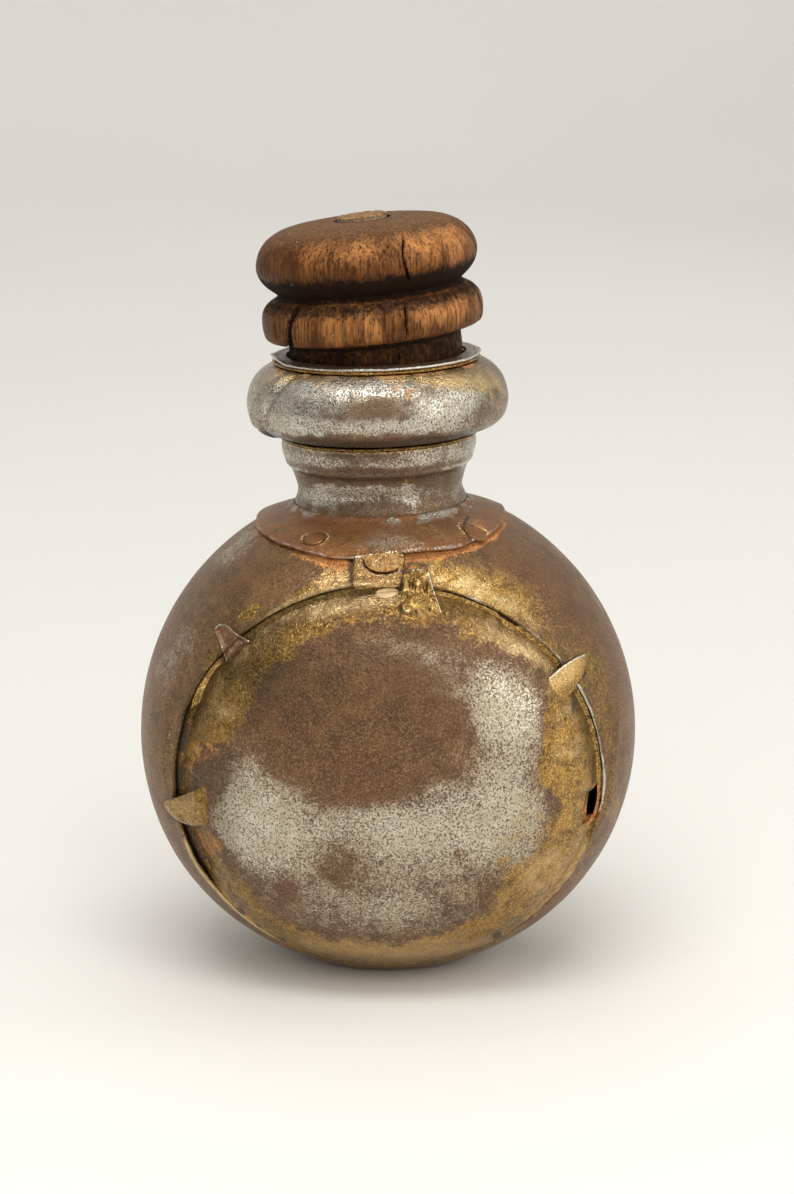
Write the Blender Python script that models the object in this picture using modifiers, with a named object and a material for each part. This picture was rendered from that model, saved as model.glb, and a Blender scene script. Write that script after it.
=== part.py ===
"""Old hand-made sheet-iron flask with a turned wooden stopper.

The body is a round hoop of sheet iron with a dished panel let into the front and another into the rear.
Each panel's rim tucks in under the hoop's edge, and a few teeth of its sheet are folded out over the hoop,
which is how a smith cramps such a seam before running brass into it.  A riveted shoulder plate and a spool-shaped
neck tube carry a hollow bulb with a flat mouth ring, and the stopper's plug stands in that mouth.

Units are metres.  The origin is on the floor under the body's centre, +Z is up and -Y is the front.
"""
import bpy
import bmesh
import math
from mathutils import Matrix, Vector

mm = 0.001

# ------------------------------------------------------------------ driving dimensions
BODY_RADIUS = 65.0 * mm          # outside of the hoop
BODY_CENTRE_Z = 63.3 * mm        # the lowest 1.7 mm of the ball is hammered flat as a foot
SHEET = 1.2 * mm                 # body sheet
GAP = 0.4 * mm                   # clearance between two sheets that lap

SEAM_HEIGHT = 30.4 * mm          # from the body's centre to the plane of each seam
SEAM_TILT = math.radians(10.4)   # the seam planes lean together at the bottom
SEAM_SINK = 2.4 * mm             # how far the hoop's edge is beaten in below the ball
SINK_START = 16.0 * mm           # where that starts
LAP = 4.4 * mm                   # how far the panel runs on under the hoop, along the seam's axis

PANEL_HEIGHT = 52.5 * mm         # crown of each dished panel above the body's centre
PANEL_SHOULDER = 2.3             # outline powers of the dish: flat crown, round shoulder
PANEL_EDGE = 0.625

TOP_SINK = 1.8 * mm              # flattening of the hoop under the shoulder plate
TOP_SINK_IN = math.radians(18.0)
TOP_SINK_OUT = math.radians(34.0)

NECK_LEAN = math.radians(1.7)    # the whole neck leans to the left
NECK_BORE = 22.5 * mm            # hole in the hoop
PLATE_BORE = 22.3 * mm           # hole in the shoulder plate
PLATE_SIDE = 31.8 * mm           # shoulder plate: radius at the sides
PLATE_LONG = 5.4 * mm            # and how much longer it is to the front and rear
PLATE_SHEET = 1.1 * mm
MOUTH_Z = 99.8 * mm              # top of the mouth ring, above the body's centre along the neck
MOUTH_SHEET = 1.0 * mm
MOUTH_OUTER = 26.7 * mm
MOUTH_BORE = 23.0 * mm

STOPPER_LEAN = math.radians(5.75)
STOPPER_TOP = 34.3 * mm          # above the mouth
PLUG_LENGTH = 22.2 * mm
PEG_RADIUS = 6.45 * mm
PEG_BORE = 6.8 * mm
PEG_DEPTH = 10.0 * mm
PEG_PROUD = 1.3 * mm

RIVET_SHANK = 1.5 * mm
RIVET_HOLE = 1.9 * mm
# shoulder rivets: turn about the neck (0 is the front, + to the right) and distance from its axis
SHOULDER_RIVETS = (
    ("shoulder_rivet_1", -31.0, 31.6 * mm),
    ("shoulder_rivet_2", 44.0, 32.6 * mm),
    ("shoulder_rivet_3", 142.0, 32.0 * mm),
    ("shoulder_rivet_4", -145.0, 32.0 * mm),
)
# teeth of the cramped seam: clock angle of the root round the seam (0 is the top, + clockwise seen from that side),
# clock angle of the tip, half width at the root, half width at the tip, reach over the hoop in degrees from the seam
FRONT_TEETH = (
    ("front_tooth_top", 9.0, 7.5, 5.2 * mm, 2.1 * mm, 3.8),
    ("front_tooth_left", 316.5, 315.3, 4.8 * mm, 1.4 * mm, 4.4),
    ("front_tooth_right", 54.5, 56.4, 4.6 * mm, 1.6 * mm, 4.4),
    ("front_tooth_low", 266.0, 262.0, 4.2 * mm, 2.2 * mm, 2.4),
)
REAR_TEETH = (
    ("rear_tooth_top", 352.0, 353.0, 4.8 * mm, 2.0 * mm, 4.2),
    ("rear_tooth_left", 299.0, 297.5, 4.4 * mm, 1.7 * mm, 4.4),
    ("rear_tooth_right", 62.0, 64.0, 4.6 * mm, 1.9 * mm, 3.8),
    ("rear_tooth_low", 118.0, 116.0, 4.2 * mm, 2.2 * mm, 3.4),
)
TOOTH_SHEET = 0.9 * mm

CENTRE = Vector((0.0, 0.0, BODY_CENTRE_Z))
FRONT_NORMAL = Vector((0.0, -math.cos(SEAM_TILT), -math.sin(SEAM_TILT)))
REAR_NORMAL = Vector((0.0, math.cos(SEAM_TILT), -math.sin(SEAM_TILT)))
NECK_TURN = Matrix.Rotation(-NECK_LEAN, 4, "Y")
EDGE_COS = SEAM_HEIGHT / (BODY_RADIUS - SEAM_SINK)
START_COS = SINK_START / BODY_RADIUS

# ------------------------------------------------------------------ a clean scene, collections, guides
for old in list(bpy.data.objects):
    bpy.data.objects.remove(old, do_unlink=True)


def collection(name):
    made = bpy.data.collections.new(name)
    bpy.context.scene.collection.children.link(made)
    return made


PARTS = collection("metal_flask")
CUTTERS = collection("flask_cutters")


def guide(name, location, turn=0.0, parent=None):
    """An empty that carries the leaning sub-assemblies; it leans about Y."""
    empty = bpy.data.objects.new(name, None)
    empty.empty_display_size = 0.02
    empty.location = location
    empty.rotation_euler = (0.0, turn, 0.0)
    empty.parent = parent
    PARTS.objects.link(empty)
    return empty


flask_axis = guide("flask_axis", CENTRE)
neck_axis = guide("neck_axis", (0.0, 0.0, 0.0), -NECK_LEAN, flask_axis)
MOUTH = CENTRE + NECK_TURN @ Vector((0.0, 0.0, MOUTH_Z))
stopper_axis = guide("stopper_axis", MOUTH, -STOPPER_LEAN)


# ------------------------------------------------------------------ materials
def material(name, colour, roughness, metallic):
    made = bpy.data.materials.new(name)
    made.use_nodes = True
    made.diffuse_color = (*colour, 1.0)
    shader = made.node_tree.nodes["Principled BSDF"]
    shader.inputs["Base Color"].default_value = (*colour, 1.0)
    shader.inputs["Roughness"].default_value = roughness
    shader.inputs["Metallic"].default_value = metallic
    return made


def finish(obj, colour, roughness, metallic):
    obj.data.materials.clear()
    obj.data.materials.append(material(obj.name + "_finish", colour, roughness, metallic))


IRON = ((0.20, 0.13, 0.085), 0.5, 0.85)
WORN_IRON = ((0.33, 0.28, 0.21), 0.42, 0.9)
STEEL = ((0.47, 0.44, 0.37), 0.34, 0.95)
BRASS = ((0.42, 0.27, 0.09), 0.38, 1.0)
WOOD = ((0.20, 0.085, 0.035), 0.55, 0.0)
PALE_WOOD = ((0.26, 0.15, 0.055), 0.7, 0.0)


# ------------------------------------------------------------------ modelling helpers
def new_object(name, mesh, where=PARTS, parent=None, matrix=None):
    obj = bpy.data.objects.new(name, mesh)
    where.objects.link(obj)
    obj.parent = parent
    if matrix is not None:
        obj.matrix_local = matrix
    return obj


def as_cutter(obj):
    obj.hide_render = True
    obj.display_type = "WIRE"
    return obj


def mesh_from(bm, name, smooth=True):
    mesh = bpy.data.meshes.new(name)
    bm.to_mesh(mesh)
    bm.free()
    if smooth:
        mesh.shade_smooth()
        mesh.set_sharp_from_angle(angle=math.radians(32.0))
    return mesh


def turned(name, profile, steps, closed=False, thickness=0.0, parent=None, matrix=None, where=PARTS):
    """A turned shape: the profile (radius, height) runs down its outer side and is swept round local Z."""
    bm = bmesh.new()
    points = [bm.verts.new((r, 0.0, z)) for r, z in profile]
    for a, b in zip(points, points[1:]):
        bm.edges.new((a, b))
    if closed:
        bm.edges.new((points[-1], points[0]))
    obj = new_object(name, mesh_from(bm, name, smooth=False), where, parent, matrix)
    screw = obj.modifiers.new("turn", "SCREW")
    screw.steps = steps
    screw.render_steps = steps
    screw.use_merge_vertices = True
    screw.merge_threshold = 0.00005
    screw.use_smooth_shade = True
    if thickness:
        wall = obj.modifiers.new("sheet", "SOLIDIFY")
        wall.thickness = thickness
        wall.offset = -1.0
        wall.use_even_offset = True
    return obj


def cut(obj, cutter, operation="DIFFERENCE"):
    boolean = obj.modifiers.new(operation.lower() + "_" + cutter.name, "BOOLEAN")
    boolean.operation = operation
    boolean.solver = "EXACT"
    boolean.object = cutter
    return boolean


def ease(low, high, value):
    t = min(max((value - low) / (high - low), 0.0), 1.0)
    return t * t * (3.0 - 2.0 * t)


def hoop_radius(direction):
    """Outside radius of the hoop: it sinks towards both seams and under the shoulder plate."""
    way = direction.normalized()
    cosine = max(way.dot(FRONT_NORMAL), way.dot(REAR_NORMAL))
    along = max((cosine - START_COS) / (EDGE_COS - START_COS), 0.0)
    up = NECK_TURN.to_3x3() @ Vector((0.0, 0.0, 1.0))
    polar = math.acos(max(min(way.dot(up), 1.0), -1.0))
    top = 1.0 - ease(TOP_SINK_IN, TOP_SINK_OUT, polar)
    return BODY_RADIUS - SEAM_SINK * min(along, 1.3) ** 2 - TOP_SINK * top


def hoop_radius_by_angle(cosine):
    along = max((cosine - START_COS) / (EDGE_COS - START_COS), 0.0)
    return BODY_RADIUS - SEAM_SINK * min(along, 1.3) ** 2


def neck_direction(turn_deg, radius, shell=BODY_RADIUS):
    """Unit vector from the body's centre to a place given by its turn about the neck and its distance from the axis."""
    turn = math.radians(turn_deg)
    z = math.sqrt(shell * shell - radius * radius)
    local = Vector((radius * math.sin(turn), -radius * math.cos(turn), z))
    return (NECK_TURN.to_3x3() @ local).normalized()


def on_hoop(direction):
    """A frame on the hoop's outside where the direction meets it, with Z square to the sheet."""
    step = 0.02
    side = direction.orthogonal().normalized()
    over = direction.cross(side)

    def point(a, b):
        way = (direction + side * a + over * b).normalized()
        return way * hoop_radius(way)

    normal = (point(step, 0.0) - point(-step, 0.0)).cross(point(0.0, step) - point(0.0, -step)).normalized()
    turn = normal.to_track_quat("Z", "Y").to_matrix().to_4x4()
    return Matrix.Translation(CENTRE + point(0.0, 0.0)) @ turn


def seam_frame(normal):
    """Local axes of a seam: Z out through the panel, Y up the body, X to the right seen from that side."""
    z = normal.normalized()
    y = (Vector((0.0, 0.0, 1.0)) - z * z.z).normalized()
    x = y.cross(z)
    turn = Matrix((x, y, z)).transposed().to_4x4()
    return Matrix.Translation(CENTRE) @ turn


# ------------------------------------------------------------------ body hoop
def make_hoop():
    bm = bmesh.new()
    bmesh.ops.create_uvsphere(bm, u_segments=56, v_segments=28, radius=BODY_RADIUS,
                              matrix=Matrix.Rotation(math.radians(90.0), 4, "X"))
    for v in bm.verts:
        v.co = v.co.normalized() * hoop_radius(v.co)
    for normal in (FRONT_NORMAL, REAR_NORMAL):
        bmesh.ops.bisect_plane(bm, geom=bm.verts[:] + bm.edges[:] + bm.faces[:], dist=1e-7,
                               plane_co=normal * SEAM_HEIGHT, plane_no=normal, clear_outer=True)
    foot = bmesh.ops.bisect_plane(bm, geom=bm.verts[:] + bm.edges[:] + bm.faces[:], dist=1e-7,
                                  plane_co=(0.0, 0.0, -BODY_CENTRE_Z), plane_no=(0.0, 0.0, -1.0), clear_outer=True)
    ring = [g for g in foot["geom_cut"] if isinstance(g, bmesh.types.BMEdge)]
    bmesh.ops.contextual_create(bm, geom=ring)
    bmesh.ops.recalc_face_normals(bm, faces=bm.faces[:])
    side = max(bm.faces, key=lambda f: f.calc_center_median().x)
    if side.normal.x < 0.0:
        bmesh.ops.reverse_faces(bm, faces=bm.faces[:])
    obj = new_object("body_hoop", mesh_from(bm, "body_hoop"), parent=flask_axis)
    wall = obj.modifiers.new("sheet", "SOLIDIFY")
    wall.thickness = SHEET
    wall.offset = -1.0
    wall.use_even_offset = True
    finish(obj, *WORN_IRON)
    return obj


hoop = make_hoop()


def cylinder(name, radius, length, matrix, where=CUTTERS, segments=24):
    bm = bmesh.new()
    bmesh.ops.create_cone(bm, cap_ends=True, cap_tris=False, segments=segments, radius1=radius, radius2=radius, depth=length)
    obj = new_object(name, mesh_from(bm, name), where)
    obj.matrix_world = matrix
    return obj


neck_matrix = Matrix.Translation(CENTRE) @ NECK_TURN
neck_drill = as_cutter(cylinder("neck_drill", NECK_BORE, 20.0 * mm, neck_matrix @ Matrix.Translation((0, 0, 60.0 * mm)), segments=48))
cut(hoop, neck_drill)


# ------------------------------------------------------------------ dished panels
def dish_height(radius, edge_radius, edge_height):
    share = max(1.0 - (radius / edge_radius) ** PANEL_SHOULDER, 0.0)
    return edge_height + (PANEL_HEIGHT - edge_height) * share ** PANEL_EDGE


def lap_point(cosine):
    """A point of the panel's outer skin where it lies under the hoop, as (radius, height) about the seam's axis."""
    reach = hoop_radius_by_angle(cosine) - SHEET - GAP
    return reach * math.sqrt(1.0 - cosine * cosine), reach * cosine


EDGE_RADIUS, EDGE_HEIGHT = lap_point(EDGE_COS)
LAP_COS = (SEAM_HEIGHT - LAP) / (BODY_RADIUS - SHEET)


def panel_profile():
    """Down the outer side: crown, shoulder, then the lap under the hoop."""
    points = [(0.0, dish_height(0.0, EDGE_RADIUS, EDGE_HEIGHT))]
    for share in (0.26, 0.48, 0.66, 0.8, 0.9, 0.96, 0.99):
        r = EDGE_RADIUS * share
        points.append((r, dish_height(r, EDGE_RADIUS, EDGE_HEIGHT)))
    for share in (0.0, 0.5, 1.0):
        points.append(lap_point(EDGE_COS + (LAP_COS - EDGE_COS) * share))
    return points


def tooth(name, frame, root_clock, tip_clock, root_half, tip_half, reach):
    """A tooth of the panel's sheet: it leaves the shoulder, steps over the hoop's edge and lies on the hoop."""
    root = 50.4 * mm
    path = []
    root_h = dish_height(root, EDGE_RADIUS, EDGE_HEIGHT)
    slope = (dish_height(root + 0.2 * mm, EDGE_RADIUS, EDGE_HEIGHT) - root_h) / (0.2 * mm)
    inward = Vector((-slope, 1.0)).normalized() * -0.55 * mm
    path.append((root + inward.x, root_h + inward.y))
    edge_angle = math.acos(EDGE_COS)
    for i in range(6):
        angle = edge_angle + math.radians(reach) * i / 5.0 + math.radians(0.4)
        lift = 1.15 * mm - 0.2 * mm * min(i / 2.0, 1.0)
        r = hoop_radius_by_angle(math.cos(angle)) + lift
        path.append((r * math.sin(angle), r * math.cos(angle)))
    # even steps between the shoulder and the hoop's edge
    (r0, h0), (r1, h1) = path[0], path[1]
    path[1:1] = [(r0 + (r1 - r0) * t, h0 + (h1 - h0) * t) for t in (0.33, 0.67)]
    rows = len(path) - 1
    bm = bmesh.new()
    bmesh.ops.create_grid(bm, x_segments=4, y_segments=rows, size=1.0)
    for v in bm.verts:
        across = v.co.x
        t = (v.co.y + 1.0) / 2.0
        r, h = path[min(int(round(t * rows)), rows)]
        half = root_half + (tip_half - root_half) * t ** 1.3
        angle = math.radians(root_clock + (tip_clock - root_clock) * t) + across * half / r
        v.co = (r * math.sin(angle), r * math.cos(angle), h)
    bmesh.ops.recalc_face_normals(bm, faces=bm.faces[:])
    if sum(f.normal.z for f in bm.faces) < 0.0:
        bmesh.ops.reverse_faces(bm, faces=bm.faces[:])
    obj = new_object(name, mesh_from(bm, name), CUTTERS)
    obj.matrix_world = frame
    wall = obj.modifiers.new("sheet", "SOLIDIFY")
    wall.thickness = TOOTH_SHEET
    wall.offset = 0.0
    return as_cutter(obj)


def make_panel(name, normal, teeth):
    frame = seam_frame(normal)
    panel = turned(name, panel_profile(), 50, thickness=SHEET, matrix=frame)
    for spec in teeth:
        cut(panel, tooth(spec[0], frame, *spec[1:]), "UNION")
    finish(panel, *IRON)
    return panel


front_panel = make_panel("front_panel", FRONT_NORMAL, FRONT_TEETH)
rear_panel = make_panel("rear_panel", REAR_NORMAL, REAR_TEETH)


def seam_braze(name, normal, start_clock, sweep):
    """A fillet of brass in the trough of the seam, run round most of the circle."""
    section = ((54.55 * mm, 30.8 * mm), (53.95 * mm, 30.55 * mm), (53.42 * mm, 31.45 * mm))
    bm = bmesh.new()
    start = math.radians(start_clock)
    verts = [bm.verts.new((r * math.sin(start), r * math.cos(start), h)) for r, h in section]
    face = bm.faces.new(verts)
    bmesh.ops.spin(bm, geom=[face] + face.edges[:] + face.verts[:], cent=(0, 0, 0), axis=(0, 0, -1),
                   angle=math.radians(sweep), steps=max(int(sweep / 6.0), 4), use_merge=False)
    bmesh.ops.recalc_face_normals(bm, faces=bm.faces[:])
    obj = new_object(name, mesh_from(bm, name), matrix=seam_frame(normal))
    finish(obj, *BRASS)
    return obj


seam_braze("front_seam_braze", FRONT_NORMAL, 293.0, 304.0)
seam_braze("rear_seam_braze", REAR_NORMAL, 140.0, 312.0)


# ------------------------------------------------------------------ shoulder plate
def plate_outline(turn):
    return PLATE_SIDE + PLATE_LONG * abs(math.cos(turn)) ** 1.5 + 0.35 * mm * math.sin(3.0 * turn + 0.6)


def plate_shell(name, bore, extra, low, thick, rings, where):
    """The plate as a ring lying on the hoop: a polar fan of circles, each point set on the hoop's surface."""
    bm = bmesh.new()
    turns = 48
    loops = []
    for i in range(rings + 1):
        share = i / rings
        made = bmesh.ops.create_circle(bm, cap_ends=False, segments=turns, radius=1.0)["verts"]
        for v in made:
            turn = math.atan2(v.co.x, -v.co.y)
            r = bore + (plate_outline(turn) + extra - bore) * share
            way = neck_direction(math.degrees(turn), r)
            v.co = way * (hoop_radius(way) + low)
        loops.append(made)
    for inner, outer in zip(loops, loops[1:]):
        edges = [e for v in inner for e in v.link_edges if e.other_vert(v) in inner]
        edges += [e for v in outer for e in v.link_edges if e.other_vert(v) in outer]
        bmesh.ops.bridge_loops(bm, edges=list(set(edges)))
    bmesh.ops.recalc_face_normals(bm, faces=bm.faces[:])
    if sum(f.normal.z for f in bm.faces) < 0.0:
        bmesh.ops.reverse_faces(bm, faces=bm.faces[:])
    obj = new_object(name, mesh_from(bm, name), where, parent=flask_axis)
    wall = obj.modifiers.new("sheet", "SOLIDIFY")
    wall.thickness = thick
    wall.offset = 1.0
    return obj


plate = plate_shell("shoulder_plate", PLATE_BORE, 0.0, GAP - 0.05 * mm, PLATE_SHEET, 3, PARTS)
finish(plate, *IRON)
plate_room = as_cutter(plate_shell("shoulder_plate_room", PLATE_BORE + 6.0 * mm, 0.4 * mm, -0.6 * mm, 5.0 * mm, 3, CUTTERS))


# ------------------------------------------------------------------ rivets
def rivet(name, frame, head, head_low, head_high, grip=1.7 * mm, tail=2.4 * mm):
    """A set rivet: low domed head outside, shank through the sheets, flat tail inside the hoop."""
    profile = [(0.0, head_high)]
    profile += [(head * math.sin(a), head_low + (head_high - head_low) * math.cos(a)) for a in (0.55, 1.05, 1.57)]
    profile += [(RIVET_SHANK, head_low - 0.02 * mm), (RIVET_SHANK, -grip), (tail, -grip - 0.02 * mm),
                (tail * 0.92, -grip - 0.7 * mm), (0.0, -grip - 0.9 * mm)]
    obj = turned(name, profile, 14, matrix=frame)
    finish(obj, *IRON)
    return obj


for rivet_name, turn_deg, distance in SHOULDER_RIVETS:
    frame = on_hoop(neck_direction(turn_deg, distance))
    rivet(rivet_name, frame, 2.8 * mm, 1.85 * mm, 2.5 * mm)
    drill = as_cutter(cylinder(rivet_name + "_drill", RIVET_HOLE, 12.0 * mm, frame, segments=14))
    cut(hoop, drill)
    cut(plate, drill)


# ------------------------------------------------------------------ strap between the shoulder plate and the seam
def make_strap():
    """A short rectangular strap on the hoop, from the shoulder plate down to the front seam's edge."""
    edge_angle = math.acos(EDGE_COS)
    bm = bmesh.new()
    bmesh.ops.create_grid(bm, x_segments=5, y_segments=5, size=1.0)
    turn = seam_frame(FRONT_NORMAL).to_3x3()
    for v in bm.verts:
        across = (v.co.x + 1.0) / 2.0
        t = (v.co.y + 1.0) / 2.0
        angle = edge_angle + math.radians(0.3 + 8.7 * t)
        x = (-8.7 + 11.9 * across) * mm
        r = BODY_RADIUS * math.sin(angle)
        clock = x / r
        local = Vector((math.sin(angle) * math.sin(clock), math.sin(angle) * math.cos(clock), math.cos(angle)))
        way = (turn @ local).normalized()
        v.co = way * (hoop_radius(way) + GAP - 0.05 * mm)
    bmesh.ops.recalc_face_normals(bm, faces=bm.faces[:])
    if sum(f.normal.z for f in bm.faces) < 0.0:
        bmesh.ops.reverse_faces(bm, faces=bm.faces[:])
    obj = new_object("seam_strap", mesh_from(bm, "seam_strap"), parent=flask_axis)
    wall = obj.modifiers.new("sheet", "SOLIDIFY")
    wall.thickness = 1.0 * mm
    wall.offset = 1.0
    finish(obj, (0.30, 0.19, 0.09), 0.45, 0.9)
    return obj


strap = make_strap()
cut(strap, plate_room)

# its rivet goes through strap, hoop and the panel's lap
strap_frame = on_hoop(neck_direction(0.4, 38.6 * mm))
strap_rivet = rivet("strap_rivet", strap_frame, 3.6 * mm, 1.75 * mm, 2.35 * mm, grip=3.3 * mm, tail=2.2 * mm)
cut(strap_rivet, plate_room)
strap_drill = as_cutter(cylinder("strap_rivet_drill", RIVET_HOLE, 12.0 * mm, strap_frame, segments=14))
cut(hoop, strap_drill)
cut(strap, strap_drill)
cut(front_panel, strap_drill)

# ------------------------------------------------------------------ neck
collar_profile = [(25.0, 78.2), (25.1, 76.5), (24.8, 74.6), (23.9, 72.4), (22.5, 70.0), (21.7, 67.3), (21.4, 64.7),
                  (21.5, 62.6), (21.7, 60.5), (21.8, 55.6)]
collar = turned("neck_collar", [(r * mm, z * mm) for r, z in collar_profile], 36, thickness=SHEET, parent=neck_axis)
finish(collar, *STEEL)

bulb_profile = [(26.0, 97.7), (28.2, 97.0), (30.3, 95.6), (32.2, 93.3), (33.3, 90.6), (33.8, 87.7), (33.5, 85.0),
                (32.5, 82.9), (30.6, 81.3), (28.0, 80.2), (25.9, 79.6), (24.3, 79.4)]
bulb = turned("neck_bulb", [(r * mm, z * mm) for r, z in bulb_profile], 36, thickness=1.1 * mm, parent=neck_axis)
finish(bulb, *STEEL)


def washer(name, inner, outer, low, high, steps=36):
    """A flat ring; the profile runs round its section."""
    return turned(name, [(outer, high), (outer, low), (inner, low), (inner, high)], steps, closed=True, parent=neck_axis)


mouth_plate = washer("mouth_plate", MOUTH_BORE, MOUTH_OUTER, MOUTH_Z - MOUTH_SHEET, MOUTH_Z)
finish(mouth_plate, *STEEL)
mouth_braze = washer("mouth_braze", 24.7 * mm, 26.3 * mm, 98.02 * mm, 98.48 * mm)
finish(mouth_braze, *BRASS)
bulb_braze = washer("bulb_braze", 23.0 * mm, 25.1 * mm, 78.52 * mm, 79.06 * mm)
finish(bulb_braze, *BRASS)
foot_braze = washer("neck_foot_braze", 22.15 * mm, 24.2 * mm, 56.2 * mm, 57.0 * mm)
finish(foot_braze, *BRASS)

# ------------------------------------------------------------------ stopper
stopper_profile = [(0.0, 34.3), (14.0, 34.2), (21.0, 33.3), (25.0, 31.4), (27.4, 28.4), (28.3, 24.8), (27.8, 21.6),
                   (26.2, 19.2), (24.2, 17.6), (23.6, 17.0), (24.6, 16.2), (26.9, 14.4), (28.2, 11.8), (28.4, 9.4),
                   (28.0, 7.2), (27.6, 5.9), (25.5, 5.3), (22.9, 4.9), (22.4, 4.0), (22.2, 0.0), (21.6, -6.0),
                   (20.4, -14.0), (19.3, -21.4), (18.4, -22.2), (0.0, -22.2)]
stopper = turned("stopper", [(r * mm, z * mm) for r, z in stopper_profile], 36, parent=stopper_axis)
finish(stopper, *WOOD)

peg_frame = Matrix.Translation(MOUTH) @ Matrix.Rotation(-STOPPER_LEAN, 4, "Y")
peg_drill = as_cutter(cylinder("peg_drill", PEG_BORE, 2.0 * PEG_DEPTH, peg_frame @ Matrix.Translation((0, 0, STOPPER_TOP)), segments=24))
cut(stopper, peg_drill)
peg_profile = [(0.0, STOPPER_TOP + PEG_PROUD), (PEG_RADIUS - 0.7 * mm, STOPPER_TOP + PEG_PROUD - 0.1 * mm),
               (PEG_RADIUS, STOPPER_TOP + PEG_PROUD - 0.6 * mm), (PEG_RADIUS, STOPPER_TOP - PEG_DEPTH + 0.7 * mm),
               (0.0, STOPPER_TOP - PEG_DEPTH + 0.35 * mm)]
peg = turned("stopper_peg", peg_profile, 24, parent=stopper_axis)
finish(peg, *PALE_WOOD)

bpy.context.view_layer.update()
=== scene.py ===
"""Looks of the old sheet-iron flask with its turned wooden stopper.

Lengths in this file are millimetres from the centre of the round body, unless a line says otherwise; they become
metres in the shared frame when a mesh is made.  The front of the flask faces -Y.
"""
import bpy
import math
import numpy as np
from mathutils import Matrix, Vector
from mathutils.bvhtree import BVHTree


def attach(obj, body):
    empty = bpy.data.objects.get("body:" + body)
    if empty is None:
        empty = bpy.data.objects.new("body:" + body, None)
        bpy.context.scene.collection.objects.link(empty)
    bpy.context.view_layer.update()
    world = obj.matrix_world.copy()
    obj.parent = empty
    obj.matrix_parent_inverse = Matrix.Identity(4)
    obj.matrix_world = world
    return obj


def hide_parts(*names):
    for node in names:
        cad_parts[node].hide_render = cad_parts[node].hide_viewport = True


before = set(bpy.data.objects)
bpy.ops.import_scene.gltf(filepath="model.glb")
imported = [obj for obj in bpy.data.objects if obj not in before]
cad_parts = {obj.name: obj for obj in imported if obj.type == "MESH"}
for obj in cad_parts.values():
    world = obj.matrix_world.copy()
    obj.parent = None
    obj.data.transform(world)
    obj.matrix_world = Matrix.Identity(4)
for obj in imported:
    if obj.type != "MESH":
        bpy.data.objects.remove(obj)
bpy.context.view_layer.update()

CENTRE = np.array((0.0, 0.0, 63.3))
RAD = math.pi / 180.0


# ------------------------------------------------------------------ noise
RNG = np.random.RandomState(41)
PERM = RNG.permutation(256)
GRADS = RNG.normal(size=(256, 3))
GRADS /= np.linalg.norm(GRADS, axis=1)[:, None]


def perlin(P, size, seed=0):
    """Smooth noise of about -1 to 1 with features of the given size."""
    q = np.asarray(P, float) / size + np.array((seed * 7.31 + 31.7, seed * 3.77 + 17.3, seed * 5.13 + 9.2))
    cell = np.floor(q)
    f = q - cell
    i = cell.astype(np.int64) & 255
    w = f * f * f * (f * (f * 6.0 - 15.0) + 10.0)
    out = np.zeros(q.shape[:-1])
    for dx in (0, 1):
        wx = w[..., 0] if dx else 1.0 - w[..., 0]
        px = PERM[(i[..., 0] + dx) & 255]
        for dy in (0, 1):
            wy = w[..., 1] if dy else 1.0 - w[..., 1]
            py = PERM[(px + i[..., 1] + dy) & 255]
            for dz in (0, 1):
                wz = w[..., 2] if dz else 1.0 - w[..., 2]
                g = GRADS[PERM[(py + i[..., 2] + dz) & 255]]
                dot = g[..., 0] * (f[..., 0] - dx) + g[..., 1] * (f[..., 1] - dy) + g[..., 2] * (f[..., 2] - dz)
                out += wx * wy * wz * dot
    return out * 1.55


def fbm(P, size, octaves=3, seed=0, gain=0.5):
    total, amp, norm = 0.0, 1.0, 0.0
    for k in range(octaves):
        total = total + amp * perlin(P, size / 2.0 ** k, seed + 11 * k)
        norm += amp
        amp *= gain
    return total / norm


def step(low, high, value):
    t = np.clip((np.asarray(value, float) - low) / (high - low), 0.0, 1.0)
    return t * t * (3.0 - 2.0 * t)


# ------------------------------------------------------------------ the front drawing
# Marks on the front are set out on a drawing of 794 by 1194 units, seen along a fixed line from 13.5 degrees above.
# The drawing only places marks and dents on the surface when the meshes are made; afterwards they belong to the metal.
TILT = 13.5 * RAD


def drawing(P):
    depth = 786.0 + P[..., 1] * math.cos(TILT) - P[..., 2] * math.sin(TILT)
    across = 397.0 + 2985.0 * (P[..., 0] - 2.37) / depth
    down = 597.0 - 2985.0 * (-34.23 + P[..., 1] * math.sin(TILT) + P[..., 2] * math.cos(TILT)) / depth
    return np.stack((across, down), -1)


def line_distance(D, line):
    """Distance in drawing units to a polyline, and how far along it (0 to 1) the nearest point is."""
    line = np.asarray(line, float)
    lengths = np.linalg.norm(np.diff(line, axis=0), axis=1)
    total = lengths.sum()
    best = np.full(D.shape[:-1], 1e9)
    where = np.zeros(D.shape[:-1])
    run = 0.0
    for a, b, size in zip(line[:-1], line[1:], lengths):
        t = np.clip(((D - a) @ (b - a)) / max(size * size, 1e-9), 0.0, 1.0)
        d = np.linalg.norm(D - (a + t[..., None] * (b - a)), axis=-1)
        closer = d < best
        best = np.where(closer, d, best)
        where = np.where(closer, (run + t * size) / total, where)
        run += size
    return best, where


def inside(D, ring):
    """Signed distance to a closed outline on the drawing, positive inside it."""
    ring = np.asarray(ring, float)
    closed = np.vstack((ring, ring[:1]))
    d, _ = line_distance(D, closed)
    odd = np.zeros(D.shape[:-1], bool)
    for (x0, y0), (x1, y1) in zip(closed[:-1], closed[1:]):
        if y0 == y1:
            continue
        crosses = (y0 > D[..., 1]) != (y1 > D[..., 1])
        at = x0 + (D[..., 1] - y0) * (x1 - x0) / (y1 - y0)
        odd ^= crosses & (D[..., 0] < at)
    return np.where(odd, d, -d)


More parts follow.
